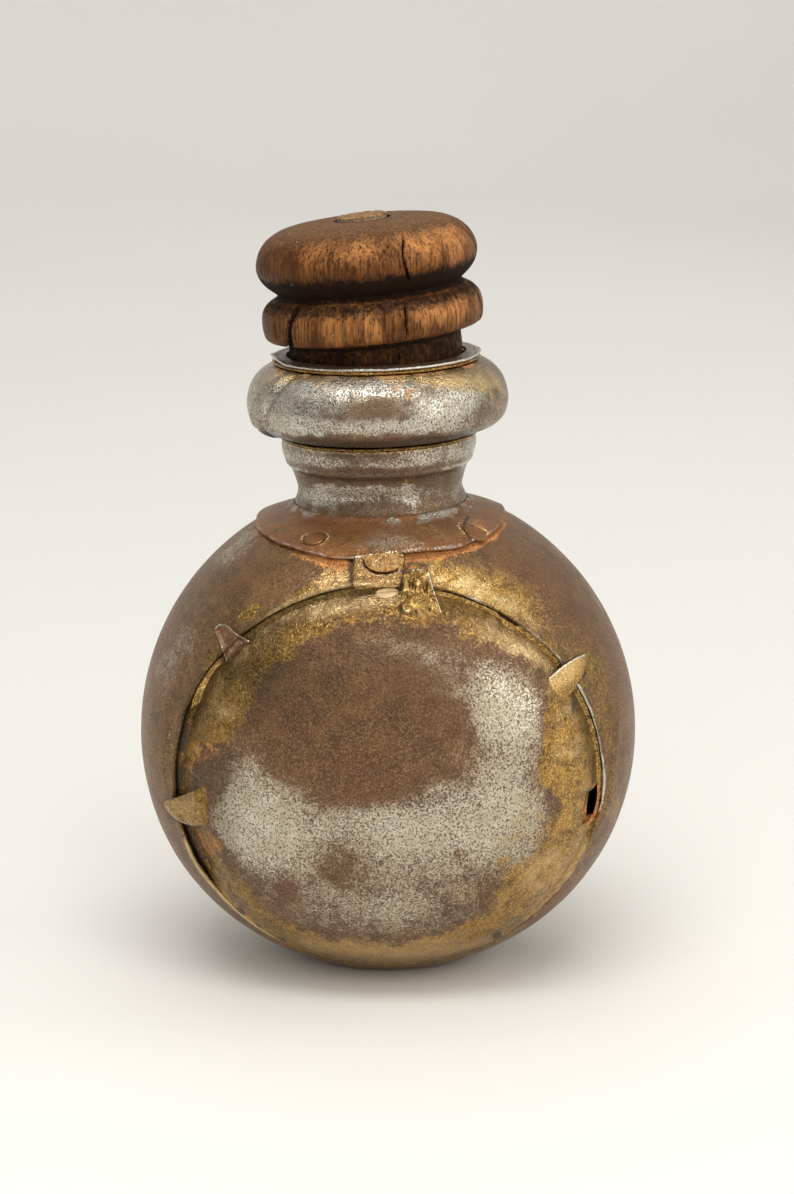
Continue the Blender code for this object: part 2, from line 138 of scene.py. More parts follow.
def spot(D, x, y, rx, ry, turn=0.0, soft=0.45):
    """A soft oval on the drawing: 1 in its middle, 0 outside."""
    c, s = math.cos(turn * RAD), math.sin(turn * RAD)
    dx, dy = D[..., 0] - x, D[..., 1] - y
    d = np.hypot((dx * c + dy * s) / rx, (-dx * s + dy * c) / ry)
    return 1.0 - step(1.0 - soft, 1.0 + soft, d)


# ------------------------------------------------------------------ the flask's own coordinates
SEAM_TILT = 10.4 * RAD
FRONT = np.array((0.0, -math.cos(SEAM_TILT), -math.sin(SEAM_TILT)))
REAR = np.array((0.0, math.cos(SEAM_TILT), -math.sin(SEAM_TILT)))
EDGE_COS = 30.4 / 62.6
EDGE_ANGLE = math.degrees(math.acos(EDGE_COS))
START_COS = 16.0 / 65.0
SHEET = 1.2


def turn_y(angle):
    c, s = math.cos(angle), math.sin(angle)
    return np.array(((c, 0.0, s), (0.0, 1.0, 0.0), (-s, 0.0, c)))


NECK = turn_y(-1.7 * RAD)
MOUTH = NECK @ np.array((0.0, 0.0, 99.8))
STOP = turn_y(-5.75 * RAD)


def axes_of(normal):
    up = np.array((0.0, 0.0, 1.0)) - normal * normal[2]
    up /= np.linalg.norm(up)
    return np.cross(up, normal), up, normal


def seam_polar(P, normal):
    """Clock angle (0 at the top, + clockwise seen from that side) and angle from the seam's axis, both in degrees."""
    x, y, z = axes_of(normal)
    a, b, c = P @ x, P @ y, P @ z
    return np.degrees(np.arctan2(a, b)) % 360.0, np.degrees(np.arctan2(np.hypot(a, b), c))


def from_seam(clock, angle, radius, normal):
    x, y, z = axes_of(normal)
    clock, angle = np.radians(clock), np.radians(angle)
    way = (np.sin(angle) * np.sin(clock))[..., None] * x + (np.sin(angle) * np.cos(clock))[..., None] * y + np.cos(angle)[..., None] * z
    return way * np.asarray(radius)[..., None]


def around(clock, middle, half, soft):
    """1 within half degrees of middle, falling to 0 over soft degrees."""
    off = np.abs((np.asarray(clock) - middle + 180.0) % 360.0 - 180.0)
    return 1.0 - step(half, half + soft, off)


def neck_polar(P):
    q = P @ NECK
    return np.degrees(np.arctan2(q[..., 0], -q[..., 1])), np.hypot(q[..., 0], q[..., 1]), q[..., 2]


def hoop_base(W):
    """Radius of the hoop's outside in each direction, before dents."""
    cosine = np.maximum(W @ FRONT, W @ REAR)
    along = np.maximum((cosine - START_COS) / (EDGE_COS - START_COS), 0.0)
    polar = np.arccos(np.clip(W @ (NECK @ np.array((0.0, 0.0, 1.0))), -1.0, 1.0))
    top = 1.0 - step(18.0 * RAD, 34.0 * RAD, polar)
    return 65.0 - 2.4 * np.minimum(along, 1.3) ** 2 - 1.8 * top


def sheet_waves(W):
    """Unevenness that all sheets of the body share, so that lapped sheets keep their distance."""
    P = W * 65.0
    return 0.16 * fbm(P, 42.0, 3, 5) + 0.05 * fbm(P, 9.0, 2, 8) - 0.18


def plate_outline(turn):
    t = np.radians(turn)
    return 31.8 + 5.4 * np.abs(np.cos(t)) ** 1.5 + 0.35 * np.sin(3.0 * t + 0.6) - 1.8 * around(np.degrees(t), 8.0, 4.0, 26.0)


# ------------------------------------------------------------------ meshes
def surface(name, P, close_v=False, pole_start=False, pole_end=False, cap_start=False, cap_end=False):
    """A mesh from a grid of points P[u, v]; u always closes on itself."""
    nu, nv = P.shape[:2]
    index = np.arange(nu * nv).reshape(nu, nv)
    points = P.reshape(-1, 3).copy()
    if pole_start:
        points[index[:, 0]] = P[:, 0].mean(0)
        index[:, 0] = index[0, 0]
    if pole_end:
        points[index[:, -1]] = P[:, -1].mean(0)
        index[:, -1] = index[0, -1]
    rows = nv if close_v else nv - 1
    a = index
    b = np.roll(index, -1, axis=0)
    faces = []
    for j in range(rows):
        k = (j + 1) % nv
        faces.append(np.stack((a[:, j], b[:, j], b[:, k], a[:, k]), -1))
    faces = np.concatenate(faces)
    tri = (faces[:, 0] == faces[:, 1]) | (faces[:, 2] == faces[:, 3])
    quads = faces[~tri]
    first = faces[(faces[:, 0] == faces[:, 1])][:, (0, 2, 3)]
    last = faces[(faces[:, 2] == faces[:, 3])][:, (0, 1, 2)]
    extra = []
    if cap_start:
        extra.append(index[::-1, 0])
    if cap_end:
        extra.append(index[:, -1])
    return build(name, points, [quads, first, last], extra)


def build(name, points, groups, extra=()):
    """points in mm from the centre; groups are arrays of equal-sized faces; extra holds single larger faces."""
    corners = [g.reshape(-1) for g in groups if len(g)] + [np.asarray(e) for e in extra]
    sizes = [np.full(len(g), g.shape[1]) for g in groups if len(g)] + [np.array([len(e)]) for e in extra]
    corners = np.concatenate(corners).astype(np.int32)
    sizes = np.concatenate(sizes)
    used, corners = np.unique(corners, return_inverse=True)
    points = points[used]
    starts = np.concatenate(((0,), np.cumsum(sizes)[:-1])).astype(np.int32)
    # signed volume: turn the faces over if they look inwards
    volume = 0.0
    at = 0
    for g in groups:
        if not len(g):
            continue
        n = g.size
        f = corners[at:at + n].reshape(g.shape)
        at += n
        for k in range(1, g.shape[1] - 1):
            volume += np.einsum("ij,ij->i", points[f[:, 0]], np.cross(points[f[:, k]], points[f[:, k + 1]])).sum()
    if volume < 0.0:
        order = np.arange(len(corners))
        ends = starts + sizes - 1
        order = np.repeat(starts + ends, sizes) - order
        corners = corners[order]
    mesh = bpy.data.meshes.new(name)
    mesh.vertices.add(len(points))
    mesh.vertices.foreach_set("co", ((points + CENTRE) / 1000.0).astype(np.float32).ravel())
    mesh.loops.add(len(corners))
    mesh.loops.foreach_set("vertex_index", corners.astype(np.int32))
    mesh.polygons.add(len(starts))
    mesh.polygons.foreach_set("loop_start", starts)
    mesh.update(calc_edges=True)
    obj = bpy.data.objects.new(name, mesh)
    bpy.context.scene.collection.objects.link(obj)
    return obj


def combine(obj, other, operation):
    """Boolean with a closed mesh, applied at once; the other object goes away."""
    for solver in ("MANIFOLD", "EXACT"):
        modifier = obj.modifiers.new("cut", "BOOLEAN")
        modifier.object = other
        modifier.operation = operation
        modifier.solver = solver
        made = bpy.data.meshes.new_from_object(obj.evaluated_get(bpy.context.evaluated_depsgraph_get()))
        obj.modifiers.clear()
        if len(made.polygons) > 0 and len(made.vertices) != len(obj.data.vertices):
            old = obj.data
            made.name = old.name + "_cut"
            obj.data = made
            bpy.data.meshes.remove(old)
            break
        bpy.data.meshes.remove(made)
    else:
        print("no change from", operation, other.name)
    used = other.data
    bpy.data.objects.remove(other)
    bpy.data.meshes.remove(used)


def places(obj):
    co = np.empty(len(obj.data.vertices) * 3, np.float32)
    obj.data.vertices.foreach_get("co", co)
    return co.reshape(-1, 3).astype(float) * 1000.0 - CENTRE


def paint(obj, **fields):
    for key, values in fields.items():
        made = obj.data.attributes.new(key, "FLOAT", "POINT")
        made.data.foreach_set("value", np.clip(values, 0.0, 1.0).astype(np.float32))


def wear_in(obj, body, node, look, angle=38.0):
    obj.data.shade_smooth()
    obj.data.set_sharp_from_angle(angle=angle * RAD)
    obj.data.materials.clear()
    obj.data.materials.append(look)
    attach(obj, body)
    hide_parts(node)


def warped(front, count, share):
    """Angles round a circle, closer together about the front."""
    w = np.linspace(-math.pi, math.pi, count, endpoint=False)
    return front + w - share * np.sin(w)


def smooth_profile(points, count):
    """Points spaced evenly along a smooth curve through a (radius, height) profile."""
    p = np.asarray(points, float)
    n = len(p)
    padded = np.vstack((2.0 * p[0] - p[1], p, 2.0 * p[-1] - p[-2]))
    fine = []
    for i in range(n - 1):
        a, b, c, d = padded[i:i + 4]
        t = np.linspace(0.0, 1.0, 40, endpoint=False)[:, None]
        fine.append(0.5 * ((2.0 * b) + (c - a) * t + (2.0 * a - 5.0 * b + 4.0 * c - d) * t ** 2 + (3.0 * b - a - 3.0 * c + d) * t ** 3))
    fine = np.vstack(fine + [p[-1:]])
    run = np.concatenate(((0.0,), np.cumsum(np.linalg.norm(np.diff(fine, axis=0), axis=1))))
    at = np.linspace(0.0, run[-1], count)
    return np.stack((np.interp(at, run, fine[:, 0]), np.interp(at, run, fine[:, 1])), -1)


# ------------------------------------------------------------------ node helper
class Look:
    def __init__(self, name):
        self.material = bpy.data.materials.new(name)
        self.material.use_nodes = True
        self.tree = self.material.node_tree
        self.shader = self.tree.nodes["Principled BSDF"]
        self.place = self.new("ShaderNodeTexCoord").outputs["Object"]

    def new(self, kind, **settings):
        node = self.tree.nodes.new(kind)
        for key, value in settings.items():
            setattr(node, key, value)
        return node

    def put(self, value, socket):
        if isinstance(value, bpy.types.NodeSocket):
            self.tree.links.new(value, socket)
        elif isinstance(value, tuple) and len(value) == 3 and socket.type == "RGBA":
            socket.default_value = (*value, 1.0)
        else:
            socket.default_value = value

    def mark(self, name):
        return self.new("ShaderNodeAttribute", attribute_name=name).outputs["Fac"]

    def math(self, operation, a, b=0.0, clamp=False):
        node = self.new("ShaderNodeMath", operation=operation, use_clamp=clamp)
        self.put(a, node.inputs[0])
        self.put(b, node.inputs[1])
        return node.outputs[0]

    def add(self, a, b):
        return self.math("ADD", a, b)

    def times(self, a, b):
        return self.math("MULTIPLY", a, b)

    def stretch(self, x, y, z, shift=0.0):
        node = self.new("ShaderNodeMapping")
        self.put(self.place, node.inputs["Vector"])
        node.inputs["Scale"].default_value = (x, y, z)
        node.inputs["Location"].default_value = (shift, shift * 0.7, -shift * 0.4)
        return node.outputs[0]

    def noise(self, size, detail=2.0, rough=0.5, shift=0.0, place=None, warp=0.0):
        """Noise with features of the given size in mm, centred on 0.5."""
        node = self.new("ShaderNodeTexNoise")
        self.put(place if place is not None else self.stretch(1.0, 1.0, 1.0, shift), node.inputs["Vector"])
        node.inputs["Scale"].default_value = 1000.0 / size
        node.inputs["Detail"].default_value = detail
        node.inputs["Roughness"].default_value = rough
        node.inputs["Distortion"].default_value = warp
        return node.outputs["Fac"]

    def cells(self, size, shift=0.0):
        node = self.new("ShaderNodeTexVoronoi")
        self.put(self.stretch(1.0, 1.0, 1.0, shift), node.inputs["Vector"])
        node.inputs["Scale"].default_value = 1000.0 / size
        return node.outputs["Distance"]

    def around(self, value, amount):
        """(value - 0.5) * amount"""
        return self.times(self.add(value, -0.5), amount)

    def ramp(self, value, low, high, to_low=0.0, to_high=1.0):
        node = self.new("ShaderNodeMapRange", interpolation_type="SMOOTHSTEP")
        self.put(value, node.inputs["Value"])
        node.inputs["From Min"].default_value = low
        node.inputs["From Max"].default_value = high
        node.inputs["To Min"].default_value = to_low
        node.inputs["To Max"].default_value = to_high
        return node.outputs["Result"]

    def mix(self, share, a, b, kind="MIX"):
        node = self.new("ShaderNodeMix", data_type="RGBA", blend_type=kind, clamp_factor=True)
        self.put(share, node.inputs["Factor"])
        self.put(a, node.inputs[6])
        self.put(b, node.inputs[7])
        return node.outputs[2]

    def blend(self, share, a, b):
        node = self.new("ShaderNodeMix", data_type="FLOAT", clamp_factor=True)
        self.put(share, node.inputs["Factor"])
        self.put(a, node.inputs[2])
        self.put(b, node.inputs[3])
        return node.outputs[0]

    def finish(self, colour, rough, metallic, height, strength, reach=0.3):
        bump = self.new("ShaderNodeBump")
        bump.inputs["Strength"].default_value = strength
        bump.inputs["Distance"].default_value = reach / 1000.0
        self.put(height, bump.inputs["Height"])
        self.put(bump.outputs[0], self.shader.inputs["Normal"])
        self.put(colour, self.shader.inputs["Base Color"])
        self.put(rough, self.shader.inputs["Roughness"])
        self.put(metallic, self.shader.inputs["Metallic"])
        return self.material


def old_iron(name, brown=(0.235, 0.118, 0.056), dark_brown=(0.130, 0.068, 0.035), red=(0.220, 0.090, 0.043), tan=(0.37, 0.275, 0.185),
             silver=(0.67, 0.635, 0.560), brass=(0.52, 0.292, 0.066), olive=(0.195, 0.118, 0.034), grain=0.60,
             shine=0.36, bare=0.0, shift=0.0, bump=0.75, wrinkle=1.0, fold=1.35, crests=0.42, shine_tint=(0.95, 0.71, 0.37)):
    """Patinated sheet iron. Marks painted on the mesh say where it is worn bare, brassed, rusty, heat-stained, sooty,
    and where shade and highlights are painted into its colour.
    """
    k = Look(name)
    fine = k.noise(grain, 2.0, 0.6, shift + 0.11)
    finer = k.noise(grain * 0.5, 1.0, 0.5, shift + 0.37)
    mid = k.noise(2.2, 3.0, 0.6, shift + 0.53)
    mid2 = k.noise(5.4, 4.0, 0.6, shift + 0.71, warp=0.4)
    broad = k.noise(19.0, 3.0, 0.55, shift + 0.83)
    grit = k.add(k.around(fine, 1.6), k.around(finer, 0.8))
    # bare, pitted iron: the share grows smoothly, the pits stay
    share = k.ramp(k.add(k.add(k.mark("silver"), bare), k.add(k.around(mid, 0.34), k.around(mid2, 0.44))), 0.08, 0.98)
    bare_iron = k.ramp(k.add(share, k.times(grit, k.add(0.36, k.times(share, 0.92)))), 0.22, 0.84)
    # brown oxide, tan where it is worn thin
    base = k.mix(k.ramp(k.add(mid2, k.around(mid, 0.5)), 0.30, 0.70), dark_brown, brown)
    base = k.mix(k.times(k.ramp(broad, 0.42, 0.66), 0.65), base, red)
    base = k.mix(k.times(share, 0.55), base, tan)
    base = k.mix(k.ramp(grit, -0.02, 0.34, 0.0, 0.50), base, (0.35, 0.235, 0.135))
    base = k.mix(k.ramp(grit, -0.04, -0.34, 0.0, 0.62), base, (0.054, 0.030, 0.017))
    metal = k.mix(k.ramp(mid2, 0.36, 0.66), silver, tuple(c * f for c, f in zip(silver, (0.84, 0.80, 0.73))))
    metal = k.mix(k.ramp(grit, -0.06, -0.26, 0.0, 0.84), metal, (0.150, 0.094, 0.056))
    colour = k.mix(bare_iron, base, metal)
    # brass wash, wrinkled where it cooled
    ripple = k.noise(fold, 2.0, 0.55, shift + 1.9, warp=1.7)
    ridge = k.math("ABSOLUTE", k.add(ripple, -0.5))
    crest = k.ramp(ridge, 0.060, 0.0)
    wash = k.ramp(k.add(k.mark("brass"), k.add(k.around(mid, 0.55), k.around(mid2, 0.60))), 0.10, 0.90)
    wash = k.ramp(k.add(wash, k.times(grit, 0.52)), 0.08, 0.90)
    gold = k.mix(k.ramp(k.add(mid2, k.around(mid, 0.7)), 0.28, 0.72), olive, brass)
    gold = k.mix(k.times(k.ramp(broad, 0.40, 0.62), 0.35), gold, (0.40, 0.205, 0.068))
    gold = k.mix(k.mark("olive"), gold, olive)
    # copper tint of the brass; on the panel's top bead and a few other places it is a pinkish painted highlight
    gold = k.mix(k.mark("copper"), gold, (0.60, 0.345, 0.175))
    # painted shade in the folds of the wrinkles and a painted highlight on their crests
    gold = k.mix(k.times(k.ramp(ridge, 0.035, 0.15), crests), gold, (0.105, 0.056, 0.016))
    gold = k.mix(k.times(crest, crests), gold, (0.90, 0.60, 0.220))
    gold = k.mix(k.ramp(grit, 0.08, 0.40, 0.0, 0.32), gold, (0.90, 0.64, 0.280))
    gold = k.mix(k.ramp(grit, -0.06, -0.34, 0.0, 0.50), gold, (0.100, 0.056, 0.018))
    # bright gold, mostly a painted highlight where light catches the brass
    gold = k.mix(k.times(k.mark("gleam"), 0.88), gold, shine_tint)
    colour = k.mix(wash, colour, gold)
    # heat stain, rust, soot, painted shade, rubbed edge; the heat and soot marks also carry painted shade in places
    heat = k.times(k.mark("heat"), k.ramp(k.add(mid2, k.times(grit, 0.4)), 0.28, 0.64, 0.45, 1.0))
    colour = k.mix(k.times(heat, 0.82), colour, k.mix(k.ramp(mid, 0.36, 0.66), (0.070, 0.056, 0.060), (0.125, 0.066, 0.046)))
    rust = k.ramp(k.add(k.mark("rust"), k.add(k.around(mid, 0.9), k.times(grit, 0.5))), 0.30, 0.90)
    colour = k.mix(rust, colour, k.mix(k.ramp(k.add(fine, k.around(mid, 0.6)), 0.36, 0.66), (0.36, 0.105, 0.024), (0.68, 0.31, 0.080)))
    cream = k.ramp(k.add(k.mark("cream"), k.times(grit, 0.3)), 0.40, 0.60)
    colour = k.mix(cream, colour, k.mix(k.ramp(fine, 0.38, 0.62), (1.0, 0.66, 0.33), (1.0, 0.76, 0.44)))
    soot = k.ramp(k.add(k.mark("soot"), k.around(mid, 0.5)), 0.25, 0.85)
    colour = k.mix(k.times(soot, 0.9), colour, (0.022, 0.016, 0.012))
    colour = k.mix(k.times(k.mark("shade"), 0.85), colour, (0.040, 0.026, 0.015))
    edge = k.times(k.ramp(k.add(k.mark("rubbed"), k.times(grit, 0.35)), 0.34, 0.70), 0.92)
    colour = k.mix(edge, colour, (0.74, 0.705, 0.64))
    worn = k.math("MAXIMUM", k.math("MAXIMUM", bare_iron, wash), edge)
    metallic = k.blend(worn, 0.62, 1.0)
    metallic = k.times(metallic, k.math("SUBTRACT", 1.0, k.times(k.math("MAXIMUM", rust, cream), 0.90)))
    metallic = k.times(metallic, k.math("SUBTRACT", 1.0, k.times(soot, 0.8)))
    rough = k.blend(bare_iron, shine + 0.04, shine - 0.06)
    rough = k.blend(wash, rough, shine - 0.09)
    rough = k.add(rough, k.times(k.times(crest, wash), -0.07))
    rough = k.blend(edge, rough, 0.27)
    rough = k.add(rough, k.around(mid, 0.18))
    rough = k.add(rough, k.times(grit, -0.12))
    rough = k.blend(rust, rough, 0.78)
    rough = k.blend(cream, rough, 0.45)
    rough = k.add(rough, k.times(k.mark("shade"), 0.16))
    rough = k.math("ADD", rough, 0.0, clamp=True)
    # pits, grain and wrinkles
    height = k.add(k.times(k.ramp(grit, -0.30, 0.18), 0.60), k.times(mid, 0.8))
    height = k.add(height, k.times(bare_iron, 0.15))
    height = k.add(height, k.times(k.times(ridge, wash), -5.5 * wrinkle))
    height = k.add(height, k.times(k.times(mid, wash), 0.9))
    height = k.add(height, k.times(mid2, 1.3))
    return k.finish(colour, rough, metallic, height, bump, 0.20)


def old_wood(name):
    """Dry dark wood with the grain along the stopper's axis."""
    k = Look(name)
    streak = k.noise(0.62, 2.5, 0.60, place=k.stretch(1.0, 1.0, 0.045, 0.3))
    fibre = k.noise(0.26, 1.5, 0.55, place=k.stretch(1.0, 1.0, 0.030, 0.9))
    figure = k.noise(5.5, 4.0, 0.58, place=k.stretch(1.0, 1.0, 0.35, 1.7), warp=0.7)
    broad = k.noise(16.0, 3.0, 0.5, 2.3)
    dirt = k.noise(1.3, 4.0, 0.62, 3.1)
    pores = k.noise(0.40, 1.0, 0.5, place=k.stretch(1.0, 1.0, 0.14, 4.4))
    speck = k.noise(0.55, 2.0, 0.6, 5.5)
    wear = k.add(k.mark("wear"), k.add(k.around(figure, 0.9), k.around(streak, 0.45)))
    wear = k.add(wear, k.add(k.around(broad, 0.5), k.around(speck, 0.15)))
    colour = k.mix(k.ramp(k.add(figure, k.around(streak, 0.5)), 0.30, 0.70), (0.068, 0.023, 0.006), (0.150, 0.055, 0.013))
    colour = k.mix(k.ramp(wear, 0.24, 1.12), colour, (0.52, 0.222, 0.072))
    colour = k.mix(k.ramp(k.add(streak, k.around(fibre, 0.6)), 0.52, 0.34, 0.0, 0.52), colour, (0.040, 0.016, 0.006))
    colour = k.mix(k.ramp(pores, 0.38, 0.30, 0.0, 0.9), colour, (0.016, 0.009, 0.006))
    colour = k.mix(k.ramp(dirt, 0.50, 0.68, 0.0, 0.40), colour, (0.065, 0.034, 0.020))
    dust = k.times(k.mark("dust"), k.ramp(dirt, 0.36, 0.60, 0.35, 1.0))
    colour = k.mix(k.times(dust, 0.74), colour, k.mix(k.ramp(streak, 0.36, 0.62), (0.105, 0.058, 0.028), (0.225, 0.130, 0.062)))
    # dark dirt and painted shade in the hollows and on the undersides
    grime = k.ramp(k.add(k.mark("grime"), k.around(dirt, 0.8)), 0.28, 0.82)
    colour = k.mix(k.times(grime, 0.96), colour, (0.010, 0.005, 0.003))
    fleck = k.ramp(k.cells(5.2, 0.6), 0.050, 0.028)
    colour = k.mix(k.times(fleck, 0.5), colour, (0.50, 0.45, 0.38))
    rough = k.add(0.42, k.around(dirt, 0.30))
    rough = k.add(rough, k.times(dust, 0.22))
    rough = k.add(rough, k.around(streak, -0.25))
    rough = k.add(rough, k.times(grime, 0.35))
    rough = k.math("ADD", rough, 0.0, clamp=True)
    height = k.add(k.times(streak, 1.1), k.times(fibre, 0.4))
    height = k.add(height, k.times(k.ramp(pores, 0.30, 0.40), 0.6))
    height = k.add(height, k.times(dirt, 0.5))
    bump = k.new("ShaderNodeBump")
    bump.inputs["Strength"].default_value = 0.85
    bump.inputs["Distance"].default_value = 0.00030
    k.put(height, bump.inputs["Height"])
    k.put(bump.outputs[0], k.shader.inputs["Normal"])
    k.put(colour, k.shader.inputs["Base Color"])
    k.put(rough, k.shader.inputs["Roughness"])
    k.shader.inputs["Metallic"].default_value = 0.0
    k.shader.inputs["Specular IOR Level"].default_value = 0.08
    return k.material


def peg_wood(name):
    k = Look(name)
    rings = k.noise(1.0, 3.0, 0.6, 0.4)
    fine = k.noise(0.32, 2.0, 0.6, 1.2)
    colour = k.mix(k.ramp(rings, 0.36, 0.64), (0.100, 0.050, 0.018), (0.36, 0.200, 0.066))
    colour = k.mix(k.ramp(fine, 0.44, 0.32, 0.0, 0.85), colour, (0.035, 0.018, 0.010))
    colour = k.mix(k.times(k.mark("dust"), 0.7), colour, (0.36, 0.32, 0.26))
    height = k.add(k.times(rings, 0.7), k.times(fine, 0.6))
    k.shader.inputs["Specular IOR Level"].default_value = 0.35
    bump = k.new("ShaderNodeBump")
    bump.inputs["Strength"].default_value = 0.9
    bump.inputs["Distance"].default_value = 0.0004
    k.put(height, bump.inputs["Height"])
    k.put(bump.outputs[0], k.shader.inputs["Normal"])
    k.put(colour, k.shader.inputs["Base Color"])
    k.put(k.add(0.66, k.around(fine, 0.3)), k.shader.inputs["Roughness"])
    return k.material


HOOP_LOOK = old_iron("hoop_patina", brown=(0.206, 0.108, 0.038), dark_brown=(0.105, 0.058, 0.022), red=(0.195, 0.080, 0.034), shift=0.0, shine=0.36,
                     wrinkle=0.5, bump=0.6, grain=0.50, olive=(0.185, 0.104, 0.030))
PANEL_LOOK = old_iron("panel_patina", brown=(0.178, 0.087, 0.034), dark_brown=(0.098, 0.050, 0.022), red=(0.145, 0.064, 0.030), silver=(0.63, 0.570, 0.450), shift=3.0, shine=0.34,
                      grain=0.56, bump=0.85, wrinkle=0.65, crests=0.44, olive=(0.162, 0.084, 0.021))
TOOTH_LOOK = old_iron("tooth_patina", shift=4.5, shine=0.31, bump=0.5, wrinkle=0.5, grain=0.50)
TAB_LOOK = old_iron("tab_patina", brass=(0.45, 0.285, 0.085), olive=(0.21, 0.135, 0.045), shift=7.5, shine=0.33, bump=0.35, wrinkle=0.15, fold=3.4, grain=0.34, crests=0.12)
PLATE_LOOK = old_iron("plate_patina", brown=(0.300, 0.115, 0.028), dark_brown=(0.178, 0.078, 0.022), red=(0.260, 0.094, 0.034), shift=6.0, shine=0.33,
                      grain=0.44)
NECK_LOOK = old_iron("neck_patina", brown=(0.200, 0.128, 0.075), dark_brown=(0.125, 0.080, 0.048), red=(0.170, 0.094, 0.058), tan=(0.35, 0.28, 0.200),
                     silver=(0.60, 0.570, 0.500), olive=(0.33, 0.250, 0.140), brass=(0.52, 0.390, 0.205), shift=9.0, shine=0.25, grain=0.50,
                     wrinkle=0.35, bump=0.60)
STRAP_LOOK = old_iron("strap_patina", brown=(0.250, 0.140, 0.060), brass=(0.60, 0.36, 0.14), shift=12.0, shine=0.36)
BRASS_LOOK = old_iron("brass_patina", brown=(0.20, 0.115, 0.038), brass=(0.55, 0.325, 0.085), olive=(0.19, 0.115, 0.034),
                      shift=15.0, shine=0.33, wrinkle=1.0, shine_tint=(0.98, 0.62, 0.19))
WOOD_LOOK = old_wood("stopper_wood")
PEG_LOOK = peg_wood("peg_wood")


# ------------------------------------------------------------------ front features, set out on the drawing
# inner border of the brass that runs round the front panel
BRASS_BORDER = ((214, 838), (226, 868), (250, 893), (285, 917), (330, 938), (380, 941), (427, 937), (458, 928), (480, 916), (500, 893), (518, 868),
                (538, 843), (550, 822), (557, 806), (548, 793), (537, 783), (534, 765), (540, 742), (548, 712), (546, 690), (540, 672), (523, 655),
                (493, 646), (470, 637), (444, 622), (403, 621), (370, 619), (343, 624), (317, 637), (300, 648), (272, 672), (256, 690),
                (243, 716), (232, 745), (206, 762), (192, 790), (200, 820))


def over(D, spots):
    """Share covered by soft spots laid over each other."""
    left = np.ones(D.shape[:-1])
    for x, y, rx, ry, turn, value in spots:
        left = left * (1.0 - value * spot(D, x, y, rx, ry, turn, 0.85))
    return 1.0 - left


